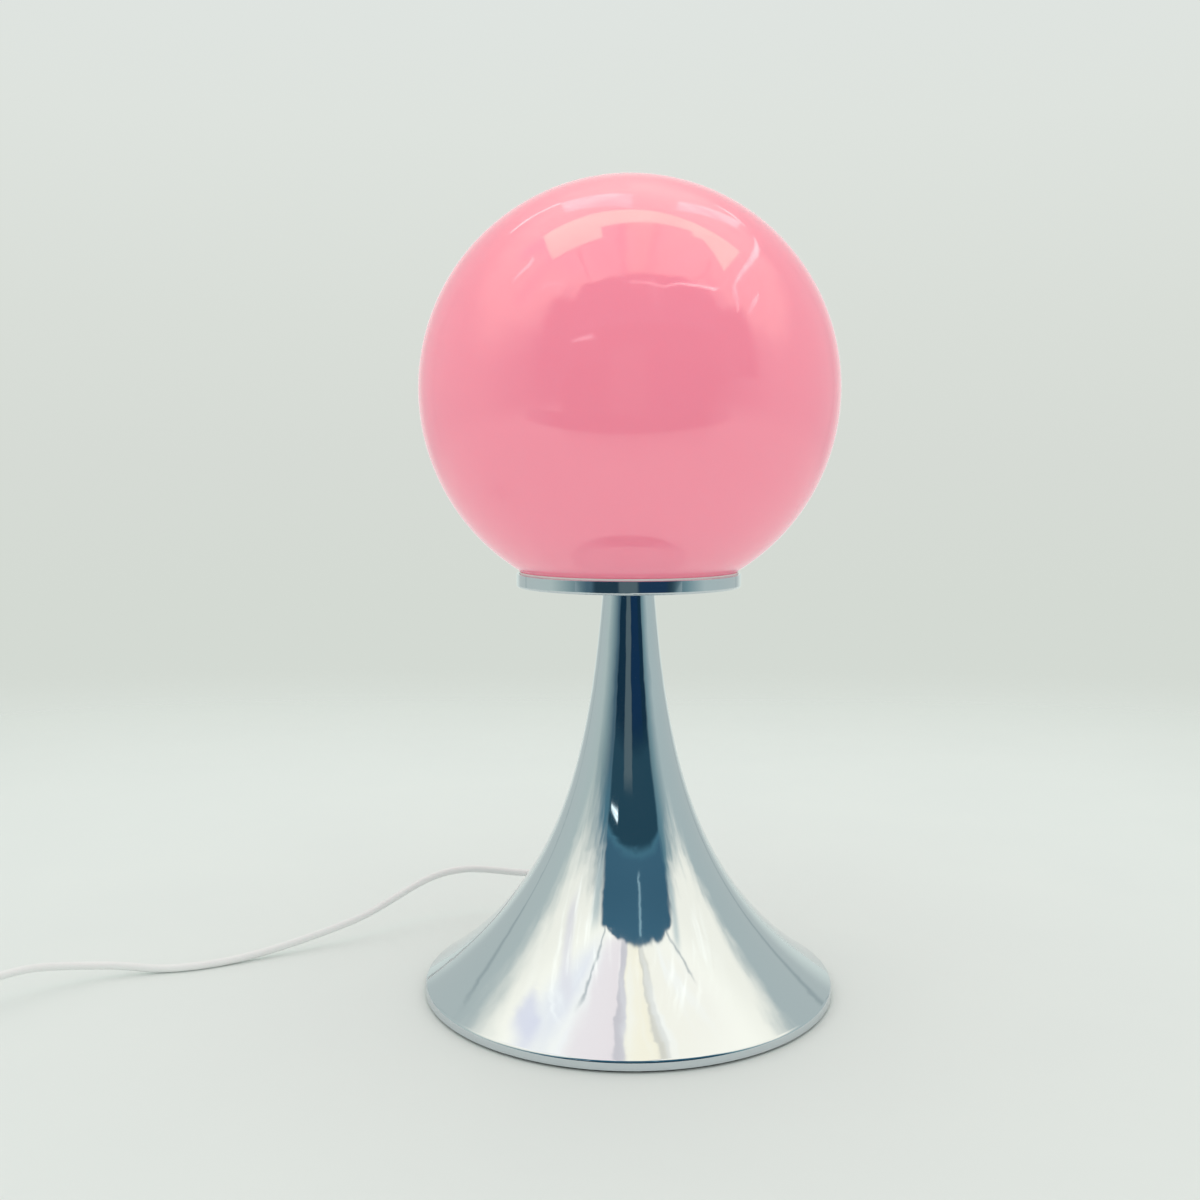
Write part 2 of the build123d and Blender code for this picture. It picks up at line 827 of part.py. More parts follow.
def lead_points(side, end_x):
    return [
        along_exit(cord_inner_start, side),
        along_exit(0, side),
        along_exit(0, side, tube_top + lead_radius),
        (end_x, 0, insert_bottom - lead_radius),
        (end_x, 0, lead_top),
    ]


live_points = lead_points(lead_side, -terminal_offset)
with BuildPart() as lead_live:
    with BuildLine() as live_path:
        FilletPolyline(*live_points, radius=lead_bends)
    with BuildSketch(Plane(origin=live_points[0], z_dir=(-exit_x, -exit_y, 0))):
        Circle(lead_radius)
    sweep(path=live_path.line)
lead_live.part.label = "lead_live"
export_step(lead_live.part, "parts/lead_live.step")

neutral_points = lead_points(-lead_side, terminal_offset)
with BuildPart() as lead_neutral:
    with BuildLine() as neutral_path:
        FilletPolyline(*neutral_points, radius=lead_bends)
    with BuildSketch(Plane(origin=neutral_points[0], z_dir=(-exit_x, -exit_y, 0))):
        Circle(lead_radius)
    sweep(path=neutral_path.line)
lead_neutral.part.label = "lead_neutral"
export_step(lead_neutral.part, "parts/lead_neutral.step")

# Where the cord comes in: bushing, inner length and clamp
flange_front = flare_radius(exit_z + bushing_flange_radius) - bushing_inset
flange_back = flange_front - bushing_flange_thickness
exit_reach = flange_front + bushing_length
with BuildPart() as cord_bushing:
    with BuildSketch(exit_plane):
        with BuildLine():
            Polyline(
                (flange_back, cord_bore),
                (flange_back, bushing_flange_radius),
                (flange_front, bushing_flange_radius),
                (flange_front, bushing_radius),
                (flange_front + bushing_straight, bushing_radius),
                (exit_reach, bushing_tip_radius),
                (exit_reach, cord_bore),
                close=True,
            )
        make_face()
    revolve(axis=exit_axis)
cord_bushing.part.label = "cord_bushing"
export_step(cord_bushing.part, "parts/cord_bushing.step")

with BuildPart() as cord_inner:
    with BuildSketch(across_exit(cord_inner_start)):
        Circle(cord_radius)
    extrude(amount=exit_reach - cord_inner_start)
cord_inner.part.label = "cord_inner"
export_step(cord_inner.part, "parts/cord_inner.step")

clamp_plane = Plane(origin=along_exit(clamp_distance, 0, 0), x_dir=(exit_x, exit_y, 0), z_dir=(0, 0, 1))
clamp_spots = [(0, clamp_screw_side), (0, -clamp_screw_side)]
clamp_top = exit_z + cord_radius + clamp_cover
clamp_groove = across_exit(clamp_distance - clamp_length)
with BuildPart() as cord_clamp_base:
    with BuildSketch(clamp_plane.offset(weight_top)):
        RectangleRounded(clamp_length, clamp_width, clamp_corner)
        with Locations(*clamp_spots):
            Circle(clamp_screw_radius + screw_gap, mode=Mode.SUBTRACT)
    extrude(amount=exit_z - clamp_split - weight_top)
    with BuildSketch(clamp_groove):
        Circle(cord_radius + clamp_grip_gap)
    extrude(amount=2 * clamp_length, mode=Mode.SUBTRACT)
cord_clamp_base.part.label = "cord_clamp_base"
export_step(cord_clamp_base.part, "parts/cord_clamp_base.step")

with BuildPart() as cord_clamp_bar:
    with BuildSketch(clamp_plane.offset(exit_z + clamp_split)):
        RectangleRounded(clamp_length, clamp_width, clamp_corner)
        with Locations(*clamp_spots):
            Circle(clamp_screw_radius + screw_gap, mode=Mode.SUBTRACT)
    extrude(amount=clamp_top - exit_z - clamp_split)
    with BuildSketch(clamp_groove):
        Circle(cord_radius + clamp_grip_gap)
    extrude(amount=2 * clamp_length, mode=Mode.SUBTRACT)
cord_clamp_bar.part.label = "cord_clamp_bar"
export_step(cord_clamp_bar.part, "parts/cord_clamp_bar.step")

with BuildPart() as clamp_screws:
    with BuildSketch(clamp_plane.offset(weight_top - clamp_screw_depth)):
        with Locations(*clamp_spots):
            Circle(clamp_screw_radius)
    extrude(amount=clamp_top - weight_top + clamp_screw_depth)
    with BuildSketch(clamp_plane.offset(clamp_top)):
        with Locations(*clamp_spots):
            Circle(clamp_head_radius)
    extrude(amount=clamp_head_height)
clamp_screws.part.label = "clamp_screws"
export_step(clamp_screws.part, "parts/clamp_screws.step")

# Heights of the coil's two layers, and where the cord meets switch and coil
coil_pitch = 2 * cord_radius + coil_gap
coil_low_z = tie_wall + tie_gap + cord_radius
coil_high_z = coil_low_z + coil_pitch
coil_centre_x = coil_start_x + coil_outer_radius
coil_inner_radius = coil_outer_radius - coil_turns_per_layer * coil_pitch
coil_first = (coil_start_x, coil_centre_y - coil_straight, coil_low_z)
switch_split_z = switch_base_height
switch_top = switch_base_height + switch_cover_height
switch_right = switch_centre_x + switch_length / 2
switch_left = switch_centre_x - switch_length / 2

# Cord from the bushing to the switch and on to the coil, its points set by hand
run_points = [
    along_exit(exit_reach),
    along_exit(exit_reach + cord_exit_lead),
    (-49.5, 96.0, 25.2),
    (-62.5, 99.5, 24.5),
    (-78.0, 98.7, 26.3),
    (-94.0, 94.0, 28.6),
    (-110.5, 84.0, 27.3),
    (-127.0, 70.0, 20.5),
    (-143.0, 57.0, 13.0),
    (-163.0, 45.0, 8.0),
    (-184.0, 32.0, cord_radius + 2.0),
    (-203.0, 20.0, cord_radius),
    (-221.0, 10.0, cord_radius),
    (-239.0, 6.0, cord_radius),
    (-257.0, 2.0, cord_radius + 3.5),
    (-274.0, -8.0, 9.0),
    (-289.0, -23.0, 14.0),
    (-301.0, -40.0, 15.0),
    (-310.0, -53.5, 13.0),
    (switch_right + switch_bend, switch_centre_y + 3.3, switch_split_z + 1.6),
    (switch_right + switch_lead, switch_centre_y, switch_split_z),
    (switch_right - switch_cord_entry, switch_centre_y, switch_split_z),
]
link_points = [
    (switch_left + switch_cord_entry, switch_centre_y, switch_split_z),
    (switch_left - switch_lead, switch_centre_y, switch_split_z - 0.3),
    (switch_left - switch_bend, switch_centre_y + 6.0, switch_split_z - 1.8),
    (coil_start_x + 2.0, -48.5, coil_low_z + 2.4),
    (coil_start_x - 0.4, -36.5, coil_low_z + 0.7),
    (coil_start_x, -25.0, coil_low_z),
    coil_first,
]


def route_radii(points):
    corners = []
    for index in range(1, len(points) - 1):
        before = Vector(*points[index]) - Vector(*points[index - 1])
        after = Vector(*points[index + 1]) - Vector(*points[index])
        half_turn = math.radians(before.get_angle(after)) / 2
        shorter = min(before.length, after.length)
        corners.append(bend_share * shorter / math.tan(half_turn))
    return corners


def print_tube(name, tube, length):
    expected = math.pi * cord_radius**2 * length
    ratio = tube.volume / expected
    print(name, "length", round(length, 1), "volume ratio", round(ratio, 4), "valid", tube.is_valid)


run_radii = route_radii(run_points)
print("cord_run radii", [round(value, 1) for value in run_radii])
with BuildPart() as cord_run:
    with BuildLine() as run_path:
        FilletPolyline(*run_points, radius=run_radii)
    with BuildSketch(Plane(origin=run_points[0], z_dir=(exit_x, exit_y, 0))):
        Circle(cord_radius)
    sweep(path=run_path.line)
cord_run.part.label = "cord_run"
print_tube("cord_run", cord_run.part, run_path.wire().length)
export_step(cord_run.part, "parts/cord_run.step")

link_radii = route_radii(link_points)
print("cord_link radii", [round(value, 1) for value in link_radii])
link_heading = Vector(*link_points[1]) - Vector(*link_points[0])
with BuildPart() as cord_link:
    with BuildLine() as link_path:
        FilletPolyline(*link_points, radius=link_radii)
    with BuildSketch(Plane(origin=link_points[0], z_dir=link_heading)):
        Circle(cord_radius)
    sweep(path=link_path.line)
cord_link.part.label = "cord_link"
print_tube("cord_link", cord_link.part, link_path.wire().length)
export_step(cord_link.part, "parts/cord_link.step")

# Coil: half turns that spiral in, climb one layer and spiral out again
half_turns = []
turn_left = coil_start_x
turn_radius = coil_outer_radius
for step in range(2 * coil_turns_per_layer):
    if step % 2 == 0:
        turn_right = turn_left + 2 * turn_radius
        half_turns.append((turn_left, turn_right, coil_low_z, coil_low_z))
    else:
        turn_left = turn_right - 2 * turn_radius
        half_turns.append((turn_right, turn_left, coil_low_z, coil_low_z))
    turn_radius = turn_radius - coil_pitch / 2
turn_right = turn_left + 2 * coil_inner_radius
half_turns.append((turn_left, turn_right, coil_low_z, coil_high_z))
turn_radius = coil_inner_radius + coil_pitch / 2
for step in range(2 * coil_turns_per_layer - 1):
    if step % 2 == 0:
        turn_left = turn_right - 2 * turn_radius
        half_turns.append((turn_right, turn_left, coil_high_z, coil_high_z))
    else:
        turn_right = turn_left + 2 * turn_radius
        half_turns.append((turn_left, turn_right, coil_high_z, coil_high_z))
    turn_radius = turn_radius + coil_pitch / 2
coil_end_x = turn_left
coil_last = (coil_end_x, coil_centre_y + coil_straight, coil_high_z)

with BuildPart() as cord_coil:
    with BuildLine() as coil_path:
        Line(coil_first, (coil_start_x, coil_centre_y, coil_low_z))
        for begin_x, finish_x, begin_z, finish_z in half_turns:
            heading = 1 if finish_x > begin_x else -1
            begin = Vector(begin_x, coil_centre_y, begin_z)
            finish = Vector(finish_x, coil_centre_y, finish_z)
            reach = (finish - begin).length / 2
            middle = (begin + finish) * 0.5 + Vector(0, heading * reach, 0)
            if begin_z == finish_z:
                ThreePointArc(begin, middle, finish)
            else:
                TangentArc(begin, middle, tangent=(0, heading, 0))
                TangentArc(middle, finish, tangent=finish - begin)
        Line((coil_end_x, coil_centre_y, coil_high_z), coil_last)
    with BuildSketch(Plane(origin=coil_first, z_dir=(0, 1, 0))):
        Circle(cord_radius)
    sweep(path=coil_path.line)
cord_coil.part.label = "cord_coil"
print_tube("cord_coil", cord_coil.part, coil_path.wire().length)
export_step(cord_coil.part, "parts/cord_coil.step")

sample_count = 900
coil_wire = coil_path.wire()
coil_samples = [coil_wire @ (index / sample_count) for index in range(sample_count + 1)]
sample_skip = 16
least_gap = coil_outer_radius
for first in range(0, sample_count, 2):
    for second in range(first + sample_skip, sample_count + 1):
        spacing = (coil_samples[first] - coil_samples[second]).length - 2 * cord_radius
        least_gap = min(least_gap, spacing)
print("cord_coil least gap to itself", round(least_gap, 3))

tail_end_y = coil_last[1] + tail_length
with BuildPart() as cord_tail:
    with BuildSketch(Plane(origin=coil_last, z_dir=(0, 1, 0))):
        Circle(cord_radius)
    extrude(amount=tail_length)
cord_tail.part.label = "cord_tail"
export_step(cord_tail.part, "parts/cord_tail.step")

# Strap round the coil
tie_low = tie_wall
tie_high = coil_high_z + cord_radius + tie_gap
tie_inside = coil_centre_x + coil_inner_radius - cord_radius - tie_side_gap
tie_outside = coil_centre_x + coil_outer_radius + cord_radius + tie_gap
tie_length = tie_outside - tie_inside
tie_height = tie_high - tie_low
with BuildPart() as cord_tie:
    with BuildSketch(Plane.XZ.offset(-coil_centre_y)):
        with Locations(((tie_inside + tie_outside) / 2, (tie_low + tie_high) / 2)):
            RectangleRounded(tie_length + 2 * tie_wall, tie_height + 2 * tie_wall, tie_corner + tie_wall)
            RectangleRounded(tie_length, tie_height, tie_corner, mode=Mode.SUBTRACT)
    extrude(amount=tie_width / 2, both=True)
cord_tie.part.label = "cord_tie"
export_step(cord_tie.part, "parts/cord_tie.step")

# In-line switch
switch_plane = Plane(origin=(switch_centre_x, switch_centre_y, 0), x_dir=(1, 0, 0), z_dir=(0, 0, 1))
switch_entry = Plane(origin=(switch_left, switch_centre_y, switch_split_z), z_dir=(1, 0, 0))
post_spots = [(post_along, post_side), (-post_along, -post_side)]
inside_length = switch_length - 2 * switch_wall
inside_width = switch_width - 2 * switch_wall
inside_corner = switch_corner - switch_wall
inside_top = switch_top - switch_wall
screw_head_top = switch_screw_sunk + switch_screw_head_height
screw_end = switch_screw_sunk + switch_screw_length
with BuildPart() as switch_base:
    with BuildSketch(switch_plane):
        RectangleRounded(switch_length, switch_width, switch_corner)
    extrude(amount=switch_split_z)
    fillet(switch_base.faces().sort_by(Axis.Z)[0].edges(), radius=switch_foot_round)
    with BuildSketch(switch_plane.offset(switch_wall)):
        RectangleRounded(inside_length, inside_width, inside_corner)
    extrude(amount=switch_split_z, mode=Mode.SUBTRACT)
    with BuildSketch(switch_plane.offset(switch_wall)):
        with Locations(*post_spots):
            Circle(post_radius)
    extrude(amount=switch_split_z - switch_wall)
    with BuildSketch(switch_plane):
        with Locations(*post_spots):
            Circle(switch_screw_radius + head_gap)
    extrude(amount=switch_split_z, mode=Mode.SUBTRACT)
    with BuildSketch(switch_plane):
        with Locations(*post_spots):
            Circle(switch_screw_head_radius + head_gap)
    extrude(amount=screw_head_top, mode=Mode.SUBTRACT)
    with BuildSketch(switch_entry):
        Circle(cord_bore)
    extrude(amount=switch_length, mode=Mode.SUBTRACT)
switch_base.part.label = "switch_base"
export_step(switch_base.part, "parts/switch_base.step")

pivot_z = switch_top - pivot_drop
pivot_spot = (switch_centre_x, switch_centre_y, pivot_z)
window_length = rocker_length + 2 * window_end_gap
window_width = rocker_width + 2 * window_side_gap
cheek_side = (window_width + cheek_thickness) / 2
with BuildPart() as switch_cover:
    with BuildSketch(switch_plane.offset(switch_split_z)):
        RectangleRounded(switch_length, switch_width, switch_corner)
    extrude(amount=switch_cover_height)
    fillet(switch_cover.faces().sort_by(Axis.Z)[-1].edges(), radius=switch_top_round)
    with BuildSketch(switch_plane.offset(switch_split_z)):
        RectangleRounded(inside_length, inside_width, inside_corner)
    extrude(amount=inside_top - switch_split_z, mode=Mode.SUBTRACT)
    with BuildSketch(switch_plane.offset(switch_split_z)):
        with Locations(*post_spots):
            Circle(post_radius)
    extrude(amount=inside_top - switch_split_z)
    with BuildSketch(switch_plane.offset(switch_split_z)):
        with Locations(*post_spots):
            Circle(switch_screw_radius + screw_gap)
    extrude(amount=screw_end - switch_split_z + head_gap, mode=Mode.SUBTRACT)
    with BuildSketch(switch_plane.offset(pivot_z - cheek_drop)):
        with Locations((0, cheek_side), (0, -cheek_side)):
            Rectangle(cheek_length, cheek_thickness)
    extrude(amount=inside_top - pivot_z + cheek_drop)
    with BuildSketch(switch_plane.offset(switch_split_z)):
        RectangleRounded(window_length, window_width, window_corner)
    extrude(amount=2 * switch_cover_height, mode=Mode.SUBTRACT)
    with BuildSketch(Plane(origin=pivot_spot, z_dir=(0, 1, 0))):
        Circle(pivot_radius + pivot_gap)
    extrude(amount=pivot_length / 2 + pivot_gap, both=True, mode=Mode.SUBTRACT)
    with BuildSketch(switch_entry):
        Circle(cord_bore)
    extrude(amount=switch_length, mode=Mode.SUBTRACT)
switch_cover.part.label = "switch_cover"
export_step(switch_cover.part, "parts/switch_cover.step")

with BuildPart() as switch_screws:
    with BuildSketch(switch_plane.offset(switch_screw_sunk)):
        with Locations(*post_spots):
            Circle(switch_screw_head_radius)
    extrude(amount=switch_screw_head_height)
    with BuildSketch(switch_plane.offset(switch_screw_sunk)):
        with Locations(*post_spots):
            Circle(switch_screw_radius)
    extrude(amount=switch_screw_length)
switch_screws.part.label = "switch_screws"
export_step(switch_screws.part, "parts/switch_screws.step")

with BuildPart() as switch_pin:
    with BuildSketch(Plane(origin=pivot_spot, z_dir=(0, 1, 0))):
        Circle(pivot_radius)
    extrude(amount=pivot_length / 2, both=True)
switch_pin.part.label = "switch_pin"
export_step(switch_pin.part, "parts/switch_pin.step")

rocker_turn = math.radians(rocker_tilt)
rocker_plane = Plane(
    origin=pivot_spot, x_dir=(math.cos(rocker_turn), 0, -math.sin(rocker_turn)), z_dir=(0, -1, 0)
)
rocker_half = rocker_length / 2
rocker_foot_half = rocker_foot_length / 2
with BuildPart() as switch_rocker:
    with BuildSketch(rocker_plane):
        with BuildLine():
            Polyline(
                (rocker_half, rocker_height),
                (rocker_half, rocker_skirt),
                (rocker_foot_half, -rocker_foot_drop),
                (-rocker_foot_half, -rocker_foot_drop),
                (-rocker_half, rocker_skirt),
                (-rocker_half, rocker_height),
            )
            ThreePointArc(
                (-rocker_half, rocker_height),
                (0, rocker_height - rocker_dip),
                (rocker_half, rocker_height),
            )
        make_face()
        Circle(pivot_radius + pivot_turning_gap, mode=Mode.SUBTRACT)
    extrude(amount=rocker_width / 2, both=True)
switch_rocker.part.label = "switch_rocker"
export_step(switch_rocker.part, "parts/switch_rocker.step")

with BuildPart() as switch_contacts:
    with BuildSketch(switch_plane.offset(switch_wall)):
        with GridLocations(2 * contact_block_along, 2 * contact_block_side, 2, 2):
            Rectangle(contact_block_length, contact_block_width)
    extrude(amount=contact_block_height)
switch_contacts.part.label = "switch_contacts"
export_step(switch_contacts.part, "parts/switch_contacts.step")

# Plug
plug_z = coil_high_z
boot_start = tail_end_y - boot_overlap
plug_back = boot_start + boot_length
plug_front = plug_back + plug_length
plug_half = plug_width / 2
back_half = plug_back_width / 2
shoulder_half = plug_half - plug_shoulder_inset
boot_plane = Plane(origin=(coil_end_x, boot_start, plug_z), z_dir=(0, 1, 0))
pin_plane = Plane(origin=(coil_end_x, plug_front, plug_z), x_dir=(1, 0, 0), z_dir=(0, 1, 0))
pin_spots = [(pin_spacing / 2, 0), (-pin_spacing / 2, 0)]
with BuildPart() as plug_body:
    with BuildSketch():
        with BuildLine():
            Polyline(
                (coil_end_x - back_half, plug_back),
                (coil_end_x + back_half, plug_back),
                (coil_end_x + shoulder_half, plug_back + plug_shoulder_start),
                (coil_end_x + plug_half, plug_back + plug_shoulder_end),
                (coil_end_x + plug_half, plug_front),
                (coil_end_x - plug_half, plug_front),
                (coil_end_x - plug_half, plug_back + plug_shoulder_end),
                (coil_end_x - shoulder_half, plug_back + plug_shoulder_start),
                close=True,
            )
        make_face()
    extrude(amount=2 * plug_z)
    fillet(plug_body.edges().filter_by(Axis.Z), radius=plug_corner)
    fillet(plug_body.faces().sort_by(Axis.Z)[-1].edges(), radius=plug_edge_round)
    fillet(plug_body.faces().sort_by(Axis.Z)[0].edges(), radius=plug_edge_round)
    with BuildSketch(boot_plane):
        Circle(boot_small_radius)
    with BuildSketch(boot_plane.offset(boot_length + boot_root)):
        Circle(boot_large_radius)
    loft()
    with BuildSketch(boot_plane):
        Circle(cord_bore)
    extrude(amount=boot_bore_depth, mode=Mode.SUBTRACT)
    with BuildSketch(pin_plane):
        with Locations(*pin_spots):
            Circle(pin_root_radius + pin_gap)
    extrude(amount=-pin_root_length, mode=Mode.SUBTRACT)
plug_body.part.label = "plug_body"
export_step(plug_body.part, "parts/plug_body.step")

with BuildPart() as plug_pins:
    with BuildSketch(pin_plane):
        with Locations(*pin_spots):
            Circle(pin_root_radius)
    extrude(amount=-pin_root_length)
    with BuildSketch(pin_plane):
        with Locations(*pin_spots):
            Circle(pin_radius)
    extrude(amount=pin_length)
    tip_edges = plug_pins.faces().filter_by(Axis.Y).group_by(Axis.Y)[-1].edges()
    fillet(tip_edges, radius=pin_tip_round)
plug_pins.part.label = "plug_pins"
export_step(plug_pins.part, "parts/plug_pins.step")
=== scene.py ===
import json
import math

import bpy
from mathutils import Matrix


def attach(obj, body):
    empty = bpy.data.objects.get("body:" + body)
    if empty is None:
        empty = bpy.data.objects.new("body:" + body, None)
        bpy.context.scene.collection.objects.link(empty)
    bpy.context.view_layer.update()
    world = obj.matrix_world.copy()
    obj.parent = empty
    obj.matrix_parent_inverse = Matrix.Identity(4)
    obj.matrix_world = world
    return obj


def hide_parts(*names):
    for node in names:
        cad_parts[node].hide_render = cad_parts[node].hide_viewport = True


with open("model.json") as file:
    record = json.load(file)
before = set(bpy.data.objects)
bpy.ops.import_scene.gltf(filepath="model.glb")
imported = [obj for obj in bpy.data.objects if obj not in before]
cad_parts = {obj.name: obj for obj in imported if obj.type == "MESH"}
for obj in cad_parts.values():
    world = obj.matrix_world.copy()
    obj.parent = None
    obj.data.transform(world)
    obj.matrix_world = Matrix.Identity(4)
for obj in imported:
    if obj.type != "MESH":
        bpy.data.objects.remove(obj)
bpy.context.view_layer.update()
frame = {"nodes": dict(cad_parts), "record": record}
nodes = frame["nodes"]
scene = bpy.context.scene
scene.view_settings.view_transform = "Standard"


# Small helpers for shader nodes
def srgb(red, green, blue):
    """A colour of 0 to 255 a channel, as the linear colour that shader sockets take."""
    linear = []
    for value in (red, green, blue):
        share = value / 255
        if share <= 0.04045:
            linear.append(share / 12.92)
        else:
            linear.append(((share + 0.055) / 1.055) ** 2.4)
    return (*linear, 1.0)


class Kit:
    """Adds nodes to one shader tree. An input is a number, a colour or another node's socket."""

    def __init__(self, tree):
        self.tree = tree

    def add(self, kind, **settings):
        node = self.tree.nodes.new(kind)
        for name, value in settings.items():
            setattr(node, name, value)
        return node

    def feed(self, socket, value):
        if isinstance(value, bpy.types.NodeSocket):
            self.tree.links.new(value, socket)
        else:
            socket.default_value = value

    def calc(self, operation, *values):
        node = self.add("ShaderNodeMath", operation=operation)
        for socket, value in zip(node.inputs, values):
            self.feed(socket, value)
        return node.outputs[0]

    def product(self, *values):
        result = values[0]
        for value in values[1:]:
            result = self.calc("MULTIPLY", result, value)
        return result

    def rise(self, value, low, high):
        """Goes smoothly from 0 at low to 1 at high."""
        node = self.add("ShaderNodeMapRange", interpolation_type="SMOOTHSTEP")
        self.feed(node.inputs["Value"], value)
        self.feed(node.inputs["From Min"], low)
        self.feed(node.inputs["From Max"], high)
        return node.outputs["Result"]

    def fall(self, value, low, high):
        """Goes smoothly from 1 at low to 0 at high."""
        return self.calc("SUBTRACT", 1.0, self.rise(value, low, high))

    def between(self, value, low, high, soft):
        """1 between low and high, with soft edges."""
        start = self.rise(value, low - soft, low + soft)
        end = self.fall(value, high - soft, high + soft)
        return self.product(start, end)

    def scaled(self, value, low, high, new_low, new_high):
        node = self.add("ShaderNodeMapRange")
        self.feed(node.inputs["Value"], value)
        self.feed(node.inputs["From Min"], low)
        self.feed(node.inputs["From Max"], high)
        self.feed(node.inputs["To Min"], new_low)
        self.feed(node.inputs["To Max"], new_high)
        return node.outputs["Result"]

    def mix(self, factor, first, second):
        node = self.add("ShaderNodeMix", data_type="RGBA")
        self.feed(node.inputs[0], factor)
        self.feed(node.inputs[6], first)
        self.feed(node.inputs[7], second)
        return node.outputs[2]

    def ramp(self, value, low, high, stops):
        """A colour by value, from (value, colour) stops between low and high."""
        node = self.add("ShaderNodeValToRGB")
        self.feed(node.inputs[0], self.scaled(value, low, high, 0.0, 1.0))
        elements = node.color_ramp.elements
        while len(elements) < len(stops):
            elements.new(0.5)
        for element, (place, colour) in zip(elements, stops):
            element.position = (place - low) / (high - low)
            element.color = colour
        return node.outputs["Color"]

    def level(self, value, low, high, stops):
        """A number by value, from (value, number) stops. The numbers are 0 to 1."""
        greys = [(place, (number, number, number, 1.0)) for place, number in stops]
        return self.ramp(value, low, high, greys)

    def parts(self, vector):
        """The X, Y and Z of a vector, by these names."""
        node = self.add("ShaderNodeSeparateXYZ")
        self.feed(node.inputs[0], vector)
        return node.outputs

    def place(self, stretch=(1, 1, 1)):
        """The point on the object, in metres times stretch."""
        coords = self.add("ShaderNodeTexCoord")
        node = self.add("ShaderNodeMapping")
        self.feed(node.inputs["Vector"], coords.outputs["Object"])
        node.inputs["Scale"].default_value = stretch
        return node.outputs["Vector"]

    def noise(self, point, scale, detail, roughness=0.5):
        node = self.add("ShaderNodeTexNoise")
        self.feed(node.inputs["Vector"], point)
        node.inputs["Scale"].default_value = scale
        node.inputs["Detail"].default_value = detail
        node.inputs["Roughness"].default_value = roughness
        return node.outputs["Fac"]

    def bump(self, height, distance, strength):
        node = self.add("ShaderNodeBump")
        self.feed(node.inputs["Height"], height)
        node.inputs["Distance"].default_value = distance
        node.inputs["Strength"].default_value = strength
        return node.outputs["Normal"]


def new_material(name):
    material = bpy.data.materials.new(name)
    material.use_nodes = True
    kit = Kit(material.node_tree)
    shader = material.node_tree.nodes["Principled BSDF"]
    return material, kit, shader


# Camera at the photograph's place
camera_data = bpy.data.cameras.new("camera")
camera_data.sensor_width = 36.0
camera_data.lens = 38.207
camera = bpy.data.objects.new("camera", camera_data)
camera.location = (0.0, -0.616093, 0.24767)
camera.rotation_euler = (math.radians(90 - 5.21744), 0.0, math.radians(1.29029))
scene.collection.objects.link(camera)
scene.camera = camera


